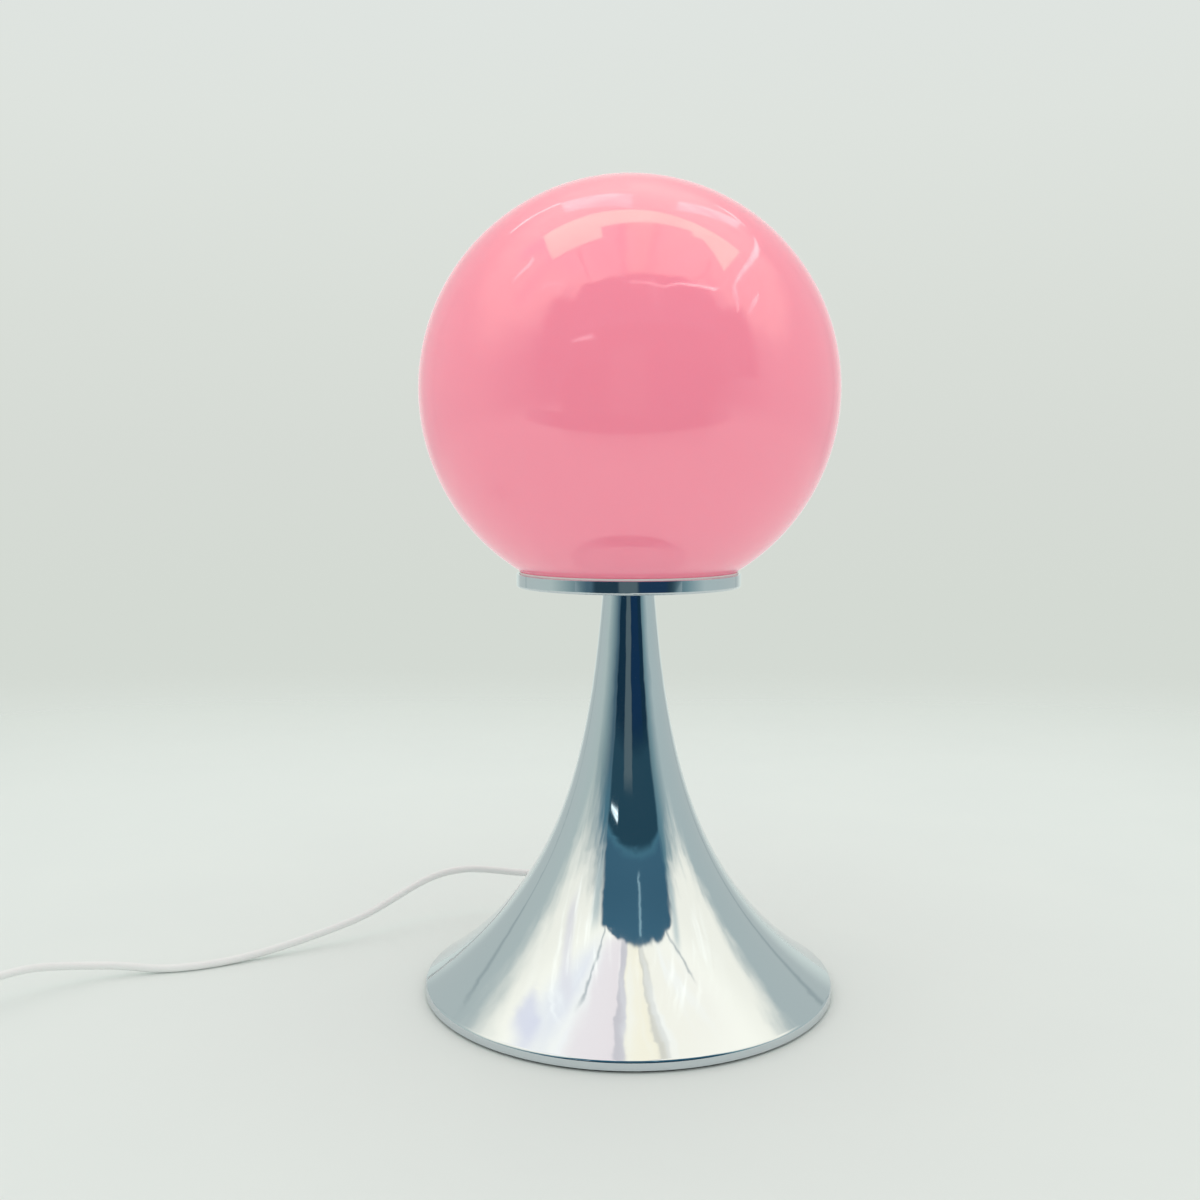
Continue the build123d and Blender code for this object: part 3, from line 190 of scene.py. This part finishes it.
# Surroundings: a pale tent with a darker opening at the front for reflections, even white light for matt
# surfaces, and a plain backdrop for the camera
def build_world():
    world = bpy.data.worlds.new("tent")
    world.use_nodes = True
    scene.world = world
    kit = Kit(world.node_tree)
    background = world.node_tree.nodes["Background"]
    coords = kit.add("ShaderNodeTexCoord")
    x, y, z = kit.parts(coords.outputs["Generated"])
    turn = math.radians(8)
    forward = kit.calc("SUBTRACT", kit.product(x, math.sin(turn)), kit.product(y, math.cos(turn)))
    side = kit.calc("ADD", kit.product(x, math.cos(turn)), kit.product(y, math.sin(turn)))
    ahead = kit.calc("MAXIMUM", forward, 0.02)
    across = kit.calc("DIVIDE", side, ahead)
    up = kit.calc("DIVIDE", z, ahead)
    in_front = kit.rise(forward, 0.0, 0.06)
    azimuth = kit.calc("DEGREES", kit.calc("ARCTAN2", x, kit.product(y, -1.0)))
    elevation = kit.calc("DEGREES", kit.calc("ARCSINE", z))
    wobble = kit.calc("SUBTRACT", kit.noise(coords.outputs["Generated"], 9.0, detail=3.0), 0.5)

    # Walls: grey, teal beside the opening, and light above an edge that is lowest at both sides
    low_wall = kit.ramp(
        azimuth,
        -180.0,
        180.0,
        [
            (-180.0, srgb(200, 206, 201)),
            (-150.0, srgb(180, 188, 186)),
            (-105.0, srgb(183, 193, 190)),
            (-84.0, srgb(181, 193, 189)),
            (-60.0, srgb(134, 155, 157)),
            (-42.0, srgb(76, 102, 115)),
            (40.0, srgb(46, 70, 84)),
            (60.0, srgb(116, 144, 150)),
            (82.0, srgb(176, 189, 188)),
            (150.0, srgb(180, 188, 186)),
            (180.0, srgb(200, 206, 201)),
        ],
    )
    reach = kit.calc("ABSOLUTE", azimuth)
    teal = kit.product(kit.between(elevation, 16.0, 38.0, 6.0), kit.fall(reach, 50.0, 75.0), 0.6)
    low_wall = kit.mix(teal, low_wall, srgb(80, 128, 145))
    edge = kit.level(
        azimuth,
        -180.0,
        180.0,
        [
            (-180.0, 0.50),
            (-126.0, 0.50),
            (-100.0, 0.31),
            (-80.0, 0.20),
            (-60.0, 0.25),
            (-40.0, 0.36),
            (55.0, 0.40),
            (70.0, 0.25),
            (88.0, 0.19),
            (100.0, 0.23),
            (126.0, 0.47),
            (180.0, 0.47),
        ],
    )
    over_edge = kit.calc("SUBTRACT", elevation, kit.product(edge, 100.0))
    over_edge = kit.calc("ADD", over_edge, kit.product(wobble, 18.0))
    softness = kit.scaled(azimuth, 0.0, 80.0, 15.0, 9.0)
    is_light = kit.rise(kit.calc("DIVIDE", over_edge, softness), -1.0, 1.0)
    walls = kit.mix(is_light, low_wall, (1.03, 0.98, 0.86, 1.0))
    for start, end, top in ((-46.0, -37.0, 49.0), (56.0, 62.0, 52.0)):
        grey_fold = kit.between(azimuth, start, end, 3.0)
        grey_fold = kit.product(grey_fold, kit.between(elevation, 33.0, top, 4.0), 0.6)
        walls = kit.mix(grey_fold, walls, srgb(170, 189, 192))
    walls = kit.mix(kit.fall(elevation, -16.0, -5.0), walls, srgb(202, 209, 204))
    walls = kit.mix(kit.rise(y, 0.80, 0.93), walls, srgb(204, 213, 208))
    for corner in (-128.0, 140.0):
        seam = kit.between(azimuth, corner - 1.0, corner + 1.0, 1.0)
        seam = kit.product(seam, kit.between(elevation, -9.0, 32.0, 4.0), 0.35)
        walls = kit.mix(seam, walls, srgb(96, 116, 122))

    # Ceiling cloth: rose on the left, cream on the right, with a grey fold between and pale streaks
    ceiling = kit.calc("MAXIMUM", z, 0.1)
    left_right = kit.calc("ADD", kit.calc("DIVIDE", x, ceiling), kit.product(wobble, 0.10))
    front_back = kit.calc("DIVIDE", y, ceiling)
    streak_place = kit.add("ShaderNodeCombineXYZ")
    kit.feed(streak_place.inputs[0], left_right)
    kit.feed(streak_place.inputs[1], kit.product(front_back, 0.2))
    streaks = kit.noise(streak_place.outputs[0], 7.0, detail=3.0)
    cloth = kit.ramp(
        left_right,
        -0.8,
        0.8,
        [
            (-0.80, srgb(246, 244, 240)),
            (-0.46, srgb(238, 236, 238)),
            (-0.38, srgb(252, 248, 242)),
            (-0.27, srgb(242, 231, 230)),
            (-0.085, srgb(240, 228, 227)),
            (-0.075, srgb(206, 199, 202)),
            (-0.02, srgb(212, 206, 208)),
            (-0.01, srgb(253, 244, 223)),
            (0.14, srgb(253, 243, 220)),
            (0.15, srgb(216, 210, 197)),
            (0.21, srgb(222, 216, 203)),
            (0.22, srgb(252, 245, 230)),
            (0.80, srgb(252, 246, 234)),
        ],
    )
    cloth = kit.mix(kit.product(kit.rise(streaks, 0.5, 0.72), 0.35), cloth, srgb(255, 255, 255))
    on_ceiling = kit.product(kit.rise(elevation, 50.0, 60.0), kit.fall(y, -0.05, 0.3))
    walls = kit.mix(on_ceiling, walls, cloth)
    before = kit.product(kit.fall(front_back, -0.25, -0.12), kit.rise(elevation, 42.0, 48.0))
    for fold in (-0.37, 0.64):
        crease = kit.product(before, kit.between(left_right, fold - 0.014, fold + 0.014, 0.012), 0.65)
        walls = kit.mix(crease, walls, srgb(128, 142, 150))
    streak = kit.product(kit.between(azimuth, -75.0, -66.0, 4.0), kit.between(elevation, 36.0, 64.0, 4.0))
    walls = kit.mix(kit.product(streak, 0.7), walls, srgb(232, 226, 230))
    shade = kit.product(kit.between(azimuth, -107.0, -94.0, 4.0), kit.between(elevation, 51.0, 62.0, 3.0))
    walls = kit.mix(kit.product(shade, 0.8), walls, srgb(220, 218, 232))

    # Folds of cloth that catch the light beside the opening
    fold_place = kit.add("ShaderNodeCombineXYZ")
    kit.feed(fold_place.inputs[0], kit.product(azimuth, 0.035))
    kit.feed(fold_place.inputs[1], kit.product(elevation, 0.012))
    folds = kit.rise(kit.noise(fold_place.outputs[0], 3.0, detail=3.0, roughness=0.6), 0.52, 0.72)
    folds = kit.product(folds, kit.between(elevation, 30.0, 66.0, 10.0), kit.fall(y, -0.2, 0.2))
    walls = kit.mix(kit.product(folds, 0.6), walls, (1.25, 1.22, 1.12, 1.0))

    # Opening, dark below and teal above, with a few lighter things in it
    opening_turn = kit.calc("ADD", azimuth, kit.product(wobble, 8.0))
    opening_up = kit.calc("ADD", up, kit.product(wobble, 0.30))
    sides = kit.between(opening_turn, -35.0, 54.5, 2.5)
    right_end = kit.calc("MAXIMUM", kit.fall(azimuth, 38.0, 54.0), kit.rise(elevation, -2.0, 4.0))
    opening = kit.product(in_front, sides, right_end, kit.fall(opening_up, 1.54, 1.62))
    dark = kit.ramp(
        up,
        -0.2,
        1.0,
        [
            (-0.10, srgb(38, 61, 74)),
            (0.0, srgb(22, 49, 67)),
            (0.19, srgb(20, 48, 66)),
            (0.26, srgb(39, 71, 86)),
            (0.60, srgb(37, 69, 84)),
            (0.64, srgb(72, 116, 134)),
            (0.70, srgb(62, 100, 120)),
            (1.0, srgb(60, 98, 118)),
        ],
    )
    blue = kit.product(kit.between(across, 0.04, 0.60, 0.06), kit.between(up, -0.3, 0.2, 0.04))
    dark = kit.mix(kit.product(blue, 0.4), dark, srgb(18, 50, 92))
    line = kit.product(kit.between(across, 0.14, 0.18, 0.015), kit.between(up, 0.8, 1.45, 0.05))
    dark = kit.mix(kit.product(line, 0.6), dark, srgb(170, 205, 215))
    half_height = kit.scaled(across, -0.90, -0.50, 0.006, 0.032)
    off_middle = kit.calc("ABSOLUTE", kit.calc("SUBTRACT", up, 0.507))
    window = kit.fall(kit.calc("SUBTRACT", off_middle, half_height), -0.012, 0.012)
    panes = kit.scaled(kit.calc("SINE", kit.product(up, 230.0)), -1.0, 1.0, 0.45, 0.95)
    window = kit.product(window, kit.between(across, -0.82, -0.52, 0.03), panes)
    dark = kit.mix(window, dark, (1.6, 1.85, 1.9, 1.0))
    patch = kit.product(kit.between(across, -0.32, 0.02, 0.03), kit.between(up, -0.3, 0.34, 0.05))
    dark = kit.mix(kit.product(patch, 0.85), dark, srgb(91, 107, 112))
    around = kit.mix(opening, walls, dark)

    # Even light for matt surfaces, a little stronger from above
    light = kit.ramp(
        elevation,
        -90.0,
        90.0,
        [
            (-90.0, (0.80, 0.82, 0.80, 1.0)),
            (0.0, (0.92, 0.93, 0.92, 1.0)),
            (40.0, (1.04, 1.04, 1.02, 1.0)),
            (90.0, (1.10, 1.10, 1.08, 1.0)),
        ],
    )
    backdrop = kit.ramp(
        elevation,
        -30.0,
        30.0,
        [
            (-30.0, srgb(212, 219, 213)),
            (-5.0, srgb(212, 218, 211)),
            (1.0, srgb(214, 219, 213)),
            (7.0, srgb(217, 222, 216)),
            (15.0, srgb(222, 227, 222)),
            (30.0, srgb(226, 231, 230)),
        ],
    )
    light_path = kit.add("ShaderNodeLightPath")
    mirrored = kit.mix(light_path.outputs["Is Glossy Ray"], light, around)
    kit.feed(background.inputs["Color"], kit.mix(light_path.outputs["Is Camera Ray"], mirrored, backdrop))
    brighter = kit.calc("ADD", 0.28, kit.product(kit.rise(elevation, 40.0, 58.0), 0.14))
    strength = kit.calc("ADD", 1.0, kit.product(light_path.outputs["Is Glossy Ray"], brighter))
    kit.feed(background.inputs["Strength"], strength)


build_world()


# Floor that fades into the backdrop, a strip lamp above, and cloth and a card that only reflections see
floor_reach = 1.4
floor_fade_start = 0.32
floor_fade_end = 1.12
lamp_z = 0.9
fold_z = 0.6
card_y = -0.67
card_half_width = 0.9
card_top_z = 0.12
side_low_z = 0.34
side_fade = 0.1
globe_middle = (0.0, 0.0, 0.28)
least_depth = 0.04


def plate_object(name, corners, faces):
    mesh = bpy.data.meshes.new(name)
    mesh.from_pydata(corners, [], faces)
    plate = bpy.data.objects.new(name, mesh)
    scene.collection.objects.link(plate)
    return plate


def glow_material(name):
    material = bpy.data.materials.new(name)
    material.use_nodes = True
    kit = Kit(material.node_tree)
    material.node_tree.nodes.remove(material.node_tree.nodes["Principled BSDF"])
    glow = kit.add("ShaderNodeEmission")
    kit.feed(material.node_tree.nodes["Material Output"].inputs["Surface"], glow.outputs[0])
    return material, kit, glow


def hide_from_light(plate):
    plate.visible_camera = False
    plate.visible_diffuse = False
    plate.visible_shadow = False


def show_to_globe(material, kit, glow, cover=1.0):
    """Lets only the globe mirror this plate. Rays from the metal below the globe are longer."""
    light_path = kit.add("ShaderNodeLightPath")
    to_globe = kit.add("ShaderNodeVectorMath", operation="DISTANCE")
    kit.feed(to_globe.inputs[0], kit.place())
    to_globe.inputs[1].default_value = globe_middle
    longest = kit.calc("SUBTRACT", to_globe.outputs["Value"], least_depth)
    near = kit.calc("LESS_THAN", light_path.outputs["Ray Length"], longest)
    clear = kit.add("ShaderNodeBsdfTransparent")
    blend = kit.add("ShaderNodeMixShader")
    kit.feed(blend.inputs[0], kit.product(near, cover))
    kit.feed(blend.inputs[1], clear.outputs[0])
    kit.feed(blend.inputs[2], glow.outputs[0])
    kit.feed(material.node_tree.nodes["Material Output"].inputs["Surface"], blend.outputs[0])
    material.cycles.emission_sampling = "NONE"


def build_floor():
    corners = [
        (-floor_reach, -floor_reach, 0),
        (floor_reach, -floor_reach, 0),
        (floor_reach, floor_reach, 0),
        (-floor_reach, floor_reach, 0),
    ]
    floor = plate_object("floor", corners, [(0, 1, 2, 3)])
    material, kit, shader = new_material("floor")
    grain = kit.noise(kit.place(), 9.0, detail=4.0)
    kit.feed(shader.inputs["Base Color"], kit.mix(grain, srgb(221, 228, 225), srgb(225, 232, 228)))
    shader.inputs["Roughness"].default_value = 0.6
    shader.inputs["Specular IOR Level"].default_value = 0.2
    point = kit.parts(kit.place())
    wide = kit.calc("POWER", kit.calc("ABSOLUTE", point["X"]), 4.0)
    deep = kit.calc("POWER", kit.calc("ABSOLUTE", point["Y"]), 4.0)
    distance = kit.calc("POWER", kit.calc("ADD", wide, deep), 0.25)
    kit.feed(shader.inputs["Alpha"], kit.fall(distance, floor_fade_start, floor_fade_end))
    floor.data.materials.append(material)


def build_card():
    """Dark lower part of the opening, with soft sides, that only reflections see."""
    corners = [
        (-card_half_width, card_y, 0),
        (card_half_width, card_y, 0),
        (card_half_width, card_y, card_top_z),
        (-card_half_width, card_y, card_top_z),
    ]
    card = plate_object("card", corners, [(0, 1, 2, 3)])
    material, kit, glow = glow_material("card")
    point = kit.parts(kit.place())
    colour = kit.ramp(
        point["X"],
        -card_half_width,
        card_half_width,
        [
            (-card_half_width, srgb(160, 178, 182)),
            (-0.66, srgb(104, 136, 144)),
            (-0.46, srgb(33, 62, 81)),
            (0.50, srgb(33, 62, 81)),
            (0.66, srgb(104, 136, 144)),
            (card_half_width, srgb(160, 178, 182)),
        ],
    )
    kit.feed(glow.inputs["Color"], colour)
    card.data.materials.append(material)
    hide_from_light(card)


def build_lamp():
    """Strip lamp over the object, wider at both ends."""
    outline = [
        (-0.335, 0.035),
        (-0.360, -0.190),
        (-0.108, -0.155),
        (-0.105, -0.075),
        (0.245, -0.030),
        (0.248, -0.065),
        (0.300, -0.055),
        (0.490, -0.190),
        (0.480, 0.060),
        (0.240, 0.045),
        (-0.105, 0.045),
    ]
    faces = [(0, 1, 2, 3, 10), (3, 4, 9, 10), (4, 5, 6, 7, 8, 9)]
    lamp = plate_object("strip_lamp", [(x, y, lamp_z) for x, y in outline], faces)
    material, kit, glow = glow_material("strip_lamp")
    glow.inputs["Color"].default_value = (1.0, 0.90, 0.66, 1.0)
    patches = kit.noise(kit.place(), 5.0, detail=1.0)
    kit.feed(glow.inputs["Strength"], kit.scaled(patches, 0.3, 0.7, 2.8, 3.4))
    lamp.data.materials.append(material)
    show_to_globe(material, kit, glow)
    lamp.visible_camera = False


def build_cloth_strip(name, wide_x, wide_y, strength, line, height=lamp_z):
    """Bright edge or fold of cloth along (x, y, half width) points, widened along x or along y."""
    corners = []
    for x, y, half_width in line:
        corners.append((x - half_width * wide_x, y - half_width * wide_y, height))
        corners.append((x + half_width * wide_x, y + half_width * wide_y, height))
    faces = [(2 * k, 2 * k + 2, 2 * k + 3, 2 * k + 1) for k in range(len(line) - 1)]
    strip = plate_object(name, corners, faces)
    material, kit, glow = glow_material(name)
    glow.inputs["Color"].default_value = (1.0, 0.96, 0.92, 1.0)
    folds = kit.noise(kit.place(), 12.0, detail=2.0)
    kit.feed(glow.inputs["Strength"], kit.scaled(folds, 0.3, 0.7, 0.8 * strength, 1.2 * strength))
    strip.data.materials.append(material)
    show_to_globe(material, kit, glow)
    hide_from_light(strip)


def build_dark_side(name, inner, outer, top, soft_from, soft_to):
    """Upright side of the opening that only the globe mirrors. It fades out along y and at its top."""
    corners = [(*inner, side_low_z), (*outer, side_low_z), (*outer, top), (*inner, top)]
    side = plate_object(name, corners, [(0, 1, 2, 3)])
    material, kit, glow = glow_material(name)
    tone = kit.noise(kit.place(), 4.0, detail=2.0)
    kit.feed(glow.inputs["Color"], kit.mix(tone, srgb(44, 78, 94), srgb(62, 98, 112)))
    glow.inputs["Strength"].default_value = 1.28
    point = kit.parts(kit.place())
    sideways = kit.fall(point["Y"], soft_from, soft_to)
    upwards = kit.fall(point["Z"], top - side_fade, top)
    side.data.materials.append(material)
    show_to_globe(material, kit, glow, kit.product(sideways, upwards))
    hide_from_light(side)


def build_cloth():
    """Hem over the opening, folds beside it and pale panels behind the lamp."""
    hem = [
        (-0.005, -0.520, 0.004),
        (0.110, -0.517, 0.005),
        (0.215, -0.533, 0.006),
        (0.300, -0.467, 0.008),
        (0.400, -0.432, 0.012),
        (0.540, -0.377, 0.018),
        (0.565, -0.220, 0.006),
    ]
    right_fold = [
        (0.470, 0.370, 0.004),
        (0.525, 0.275, 0.018),
        (0.545, 0.200, 0.022),
        (0.565, 0.065, 0.018),
        (0.580, -0.080, 0.016),
        (0.600, -0.190, 0.010),
        (0.640, -0.260, 0.003),
    ]
    left_fold = [
        (-0.440, -0.080, 0.020),
        (-0.480, -0.105, 0.018),
        (-0.555, -0.105, 0.012),
        (-0.665, -0.115, 0.004),
    ]
    left_arc = [
        (-0.555, -0.380, 0.010),
        (-0.495, -0.355, 0.014),
        (-0.430, -0.385, 0.012),
        (-0.385, -0.450, 0.006),
    ]
    left_line = [
        (-0.440, 0.360, 0.010),
        (-0.350, 0.345, 0.014),
        (-0.280, 0.320, 0.012),
        (-0.215, 0.300, 0.010),
    ]
    right_line = [(0.270, 0.415, 0.006), (0.330, 0.425, 0.012), (0.410, 0.395, 0.008)]
    right_tail = [(0.315, -0.155, 0.012), (0.370, -0.200, 0.018), (0.445, -0.260, 0.006)]
    right_end = [(0.415, -0.080, 0.006), (0.450, -0.145, 0.016), (0.490, -0.215, 0.008)]
    left_panel = [(-0.215, 0.220, 0.070), (0.010, 0.135, 0.078)]
    right_panel = [(0.155, 0.155, 0.056), (0.385, 0.330, 0.068)]
    build_cloth_strip("hem", 0, 1, 3.7, hem)
    build_cloth_strip("right_fold", 1, 0, 3.0, right_fold)
    build_cloth_strip("right_line", 0, 1, 2.6, right_line)
    build_cloth_strip("right_tail", 1, 0, 2.4, right_tail, fold_z)
    build_cloth_strip("right_end", 1, 0, 2.4, right_end, fold_z)
    build_cloth_strip("left_fold", 0, 1, 2.8, left_fold)
    build_cloth_strip("left_arc", 0, 1, 2.2, left_arc)
    build_cloth_strip("left_line", 0, 1, 2.6, left_line)
    build_cloth_strip("left_panel", 0, 1, 2.1, left_panel)
    build_cloth_strip("right_panel", 0, 1, 2.1, right_panel)


build_floor()
build_card()
build_lamp()
build_cloth()
build_dark_side("left_side", (-0.395, -0.720), (-0.660, -0.480), 1.02, -0.600, -0.520)
build_dark_side("right_side", (0.595, -0.585), (0.780, -0.235), 0.88, -0.380, -0.280)


# Materials by the record's slots
def opal_glass():
    material, kit, shader = new_material("opal_glass")
    cloud = kit.noise(kit.place(), 14.0, detail=2.0)
    body = kit.mix(cloud, (0.84, 0.225, 0.295, 1.0), (0.88, 0.245, 0.315, 1.0))
    point = kit.parts(kit.place())
    # Painted light: the glass is lighter towards the opening at the bottom, where light from the floor
    # falls on it.
    painted_bottom_light = kit.fall(point["Z"], 0.205, 0.265)
    kit.feed(shader.inputs["Base Color"], kit.mix(painted_bottom_light, body, (0.95, 0.262, 0.338, 1.0)))
    shader.inputs["Subsurface Weight"].default_value = 0.2
    shader.inputs["Subsurface Radius"].default_value = (0.012, 0.004, 0.005)
    shader.inputs["Subsurface Scale"].default_value = 0.4
    shader.inputs["IOR"].default_value = 1.8
    # Painted light: a faint pink glow in the glass, though the bulb is not lit, to make the globe
    # brighter.
    shader.inputs["Emission Color"].default_value = (0.12, 0.045, 0.07, 1.0)
    shader.inputs["Emission Strength"].default_value = 1.0
    haze = kit.noise(kit.place(), 40.0, detail=4.0)
    kit.feed(shader.inputs["Roughness"], kit.scaled(haze, 0.3, 0.7, 0.05, 0.09))
    wave = kit.noise(kit.place(), 11.0, detail=1.0)
    kit.feed(shader.inputs["Normal"], kit.bump(wave, 0.0012, 0.35))
    return material


def chrome():
    material, kit, shader = new_material("chrome")
    shader.inputs["Metallic"].default_value = 1.0
    tone = kit.noise(kit.place(), 6.0, detail=3.0)
    kit.feed(shader.inputs["Base Color"], kit.mix(tone, (0.61, 0.66, 0.69, 1.0), (0.66, 0.71, 0.74, 1.0)))
    smear = kit.noise(kit.place((1, 1, 0.25)), 60.0, detail=5.0, roughness=0.6)
    kit.feed(shader.inputs["Roughness"], kit.scaled(smear, 0.3, 0.75, 0.03, 0.07))
    wave = kit.noise(kit.place(), 26.0, detail=1.0)
    kit.feed(shader.inputs["Normal"], kit.bump(wave, 0.0006, 0.25))
    return material


def moulded(name, colour, second, roughness, scale, depth):
    """Moulded plastic or rubber with a fine grain."""
    material, kit, shader = new_material(name)
    tone = kit.noise(kit.place(), 35.0, detail=3.0)
    kit.feed(shader.inputs["Base Color"], kit.mix(tone, colour, second))
    grain = kit.noise(kit.place(), scale, detail=2.0)
    kit.feed(shader.inputs["Roughness"], kit.scaled(grain, 0.3, 0.7, roughness - 0.05, roughness + 0.08))
    kit.feed(shader.inputs["Normal"], kit.bump(grain, depth, 0.5))
    return material


def worked_metal(name, colour, second, low, high, stretch):
    """Metal with drawn or turned marks along one direction."""
    material, kit, shader = new_material(name)
    shader.inputs["Metallic"].default_value = 1.0
    tone = kit.noise(kit.place(), 50.0, detail=4.0)
    kit.feed(shader.inputs["Base Color"], kit.mix(tone, colour, second))
    marks = kit.noise(kit.place(stretch), 300.0, detail=3.0)
    kit.feed(shader.inputs["Roughness"], kit.scaled(marks, 0.3, 0.7, low, high))
    kit.feed(shader.inputs["Normal"], kit.bump(marks, 0.0001, 0.3))
    return material


moulded_looks = {
    # soft_rubber: the foot pad's own dark rubber, made extra dark as painted shade for the dark line
    # under the foot's rim.
    "soft_rubber": (srgb(22, 26, 29), srgb(32, 36, 39), 0.7, 900.0, 0.0002),
    # soft_white: the gasket's own white silicone, and also a painted highlight: its lip stands in for the
    # bright line along the ring's top edge.
    "soft_white": (srgb(236, 236, 232), srgb(243, 243, 240), 0.45, 900.0, 0.00005),
    "cast_iron": (srgb(58, 57, 56), srgb(74, 70, 66), 0.75, 420.0, 0.0005),
    "white_plastic": (srgb(236, 237, 234), srgb(242, 242, 240), 0.38, 1600.0, 0.00008),
    "ceramic_white": (srgb(238, 235, 226), srgb(245, 243, 236), 0.28, 260.0, 0.0001),
    "dark_insulator": (srgb(28, 27, 30), srgb(40, 38, 42), 0.35, 700.0, 0.0001),
    "frosted_plastic": (srgb(240, 240, 236), srgb(246, 246, 243), 0.5, 1200.0, 0.00005),
    "lead_brown": (srgb(92, 56, 36), srgb(108, 68, 44), 0.45, 900.0, 0.00005),
    "lead_blue": (srgb(36, 78, 148), srgb(48, 92, 164), 0.45, 900.0, 0.00005),
    "cord_white": (srgb(226, 229, 228), srgb(236, 238, 236), 0.42, 700.0, 0.00008),
    "tie_plastic": (srgb(214, 218, 216), srgb(226, 229, 227), 0.4, 900.0, 0.00008),
}
metal_looks = {
    "plated_steel": (srgb(168, 172, 176), srgb(190, 193, 196), 0.22, 0.42, (1, 1, 6)),
    "brass": (srgb(201, 163, 88), srgb(216, 182, 110), 0.18, 0.36, (1, 6, 1)),
    "bulb_aluminium": (srgb(196, 199, 202), srgb(214, 216, 218), 0.2, 0.38, (1, 1, 8)),
}
materials = {"opal_glass": opal_glass(), "chrome": chrome()}
for name, look in moulded_looks.items():
    materials[name] = moulded(name, *look)
for name, look in metal_looks.items():
    materials[name] = worked_metal(name, *look)
for subpart in frame["record"]["subparts"]:
    for material_slot in nodes[subpart["node"]].material_slots:
        material_slot.material = materials[subpart["material_slot"]]


# Cord: one spline from the foot through the switch to the coil and the plug
cord_thickness = 0.004
coil_start_x = -0.418
coil_y = -0.010
coil_low_z = 0.003
coil_pitch = 0.0045
coil_outer_radius = 0.034
coil_inner_radius = 0.016
coil_layer_turns = 4
coil_steps = 8
coil_end_steps = (0.006, 0.016, 0.027)
run_points = [
    (-0.03663, 0.07854, 0.026),
    (-0.04119, 0.08833, 0.026),
    (-0.0495, 0.0960, 0.0252),
    (-0.0625, 0.0995, 0.0245),
    (-0.0780, 0.0987, 0.0263),
    (-0.0940, 0.0940, 0.0286),
    (-0.1105, 0.0840, 0.0273),
    (-0.1270, 0.0700, 0.0205),
    (-0.1430, 0.0570, 0.0130),
    (-0.1630, 0.0450, 0.0080),
    (-0.1840, 0.0320, 0.0040),
    (-0.2030, 0.0200, 0.0020),
    (-0.2210, 0.0100, 0.0020),
    (-0.2390, 0.0060, 0.0020),
    (-0.2570, 0.0020, 0.0055),
    (-0.2740, -0.0080, 0.0090),
    (-0.2890, -0.0230, 0.0140),
    (-0.3010, -0.0400, 0.0150),
    (-0.3100, -0.0535, 0.0130),
    (-0.3190, -0.0617, 0.0106),
    (-0.3300, -0.0650, 0.0090),
    (-0.3420, -0.0650, 0.0090),
    (-0.3500, -0.0650, 0.0078),
    (-0.3570, -0.0650, 0.0062),
    (-0.3710, -0.0650, 0.0062),
    (-0.3780, -0.0650, 0.0078),
    (-0.3860, -0.0650, 0.0090),
    (-0.3980, -0.0650, 0.0087),
    (-0.4090, -0.0590, 0.0072),
    (-0.4160, -0.0485, 0.0054),
    (-0.4184, -0.0365, 0.0037),
    (-0.4180, -0.0250, 0.0030),
    (-0.4180, -0.0140, 0.0030),
]


def half_turn(begin_x, end_x, begin_z, end_z):
    """Points of half a turn from one side of the coil to the other, clockwise from above."""
    middle = (begin_x + end_x) / 2
    radius = abs(end_x - begin_x) / 2
    heading = 1 if end_x > begin_x else -1
    outward = 1 / (0.75 + 0.25 * math.cos(math.pi / coil_steps))
    points = []
    for step in range(coil_steps):
        share = (step + 0.5) / coil_steps
        angle = math.pi * share
        along = -heading * radius * outward * math.cos(angle)
        across = heading * radius * outward * math.sin(angle)
        points.append((middle + along, coil_y + across, begin_z + (end_z - begin_z) * share))
    return points


def coil_points():
    points = []
    high_z = coil_low_z + coil_pitch
    left = coil_start_x
    right = left
    radius = coil_outer_radius
    for half in range(2 * coil_layer_turns):
        if half % 2 == 0:
            right = left + 2 * radius
            points += half_turn(left, right, coil_low_z, coil_low_z)
        else:
            left = right - 2 * radius
            points += half_turn(right, left, coil_low_z, coil_low_z)
        radius -= coil_pitch / 2
    right = left + 2 * coil_inner_radius
    points += half_turn(left, right, coil_low_z, high_z)
    radius = coil_inner_radius + coil_pitch / 2
    for half in range(2 * coil_layer_turns - 1):
        if half % 2 == 0:
            left = right - 2 * radius
            points += half_turn(right, left, high_z, high_z)
        else:
            right = left + 2 * radius
            points += half_turn(left, right, high_z, high_z)
        radius += coil_pitch / 2
    for forward in coil_end_steps:
        points.append((left, coil_y + forward, high_z))
    return points


def build_cord():
    points = run_points + coil_points()
    curve = bpy.data.curves.new("cord", "CURVE")
    curve.dimensions = "3D"
    curve.resolution_u = 6
    curve.bevel_depth = cord_thickness / 2
    curve.bevel_resolution = 5
    curve.use_fill_caps = True
    spline = curve.splines.new("NURBS")
    spline.points.add(len(points) - 1)
    for point, place in zip(spline.points, points):
        point.co = (*place, 1.0)
    spline.order_u = 3
    spline.use_endpoint_u = True
    cord = bpy.data.objects.new("cord", curve)
    scene.collection.objects.link(cord)
    curve.materials.append(materials["cord_white"])
    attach(cord, "stand")
    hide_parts("cord_run", "cord_link", "cord_coil", "cord_tail")


build_cord()
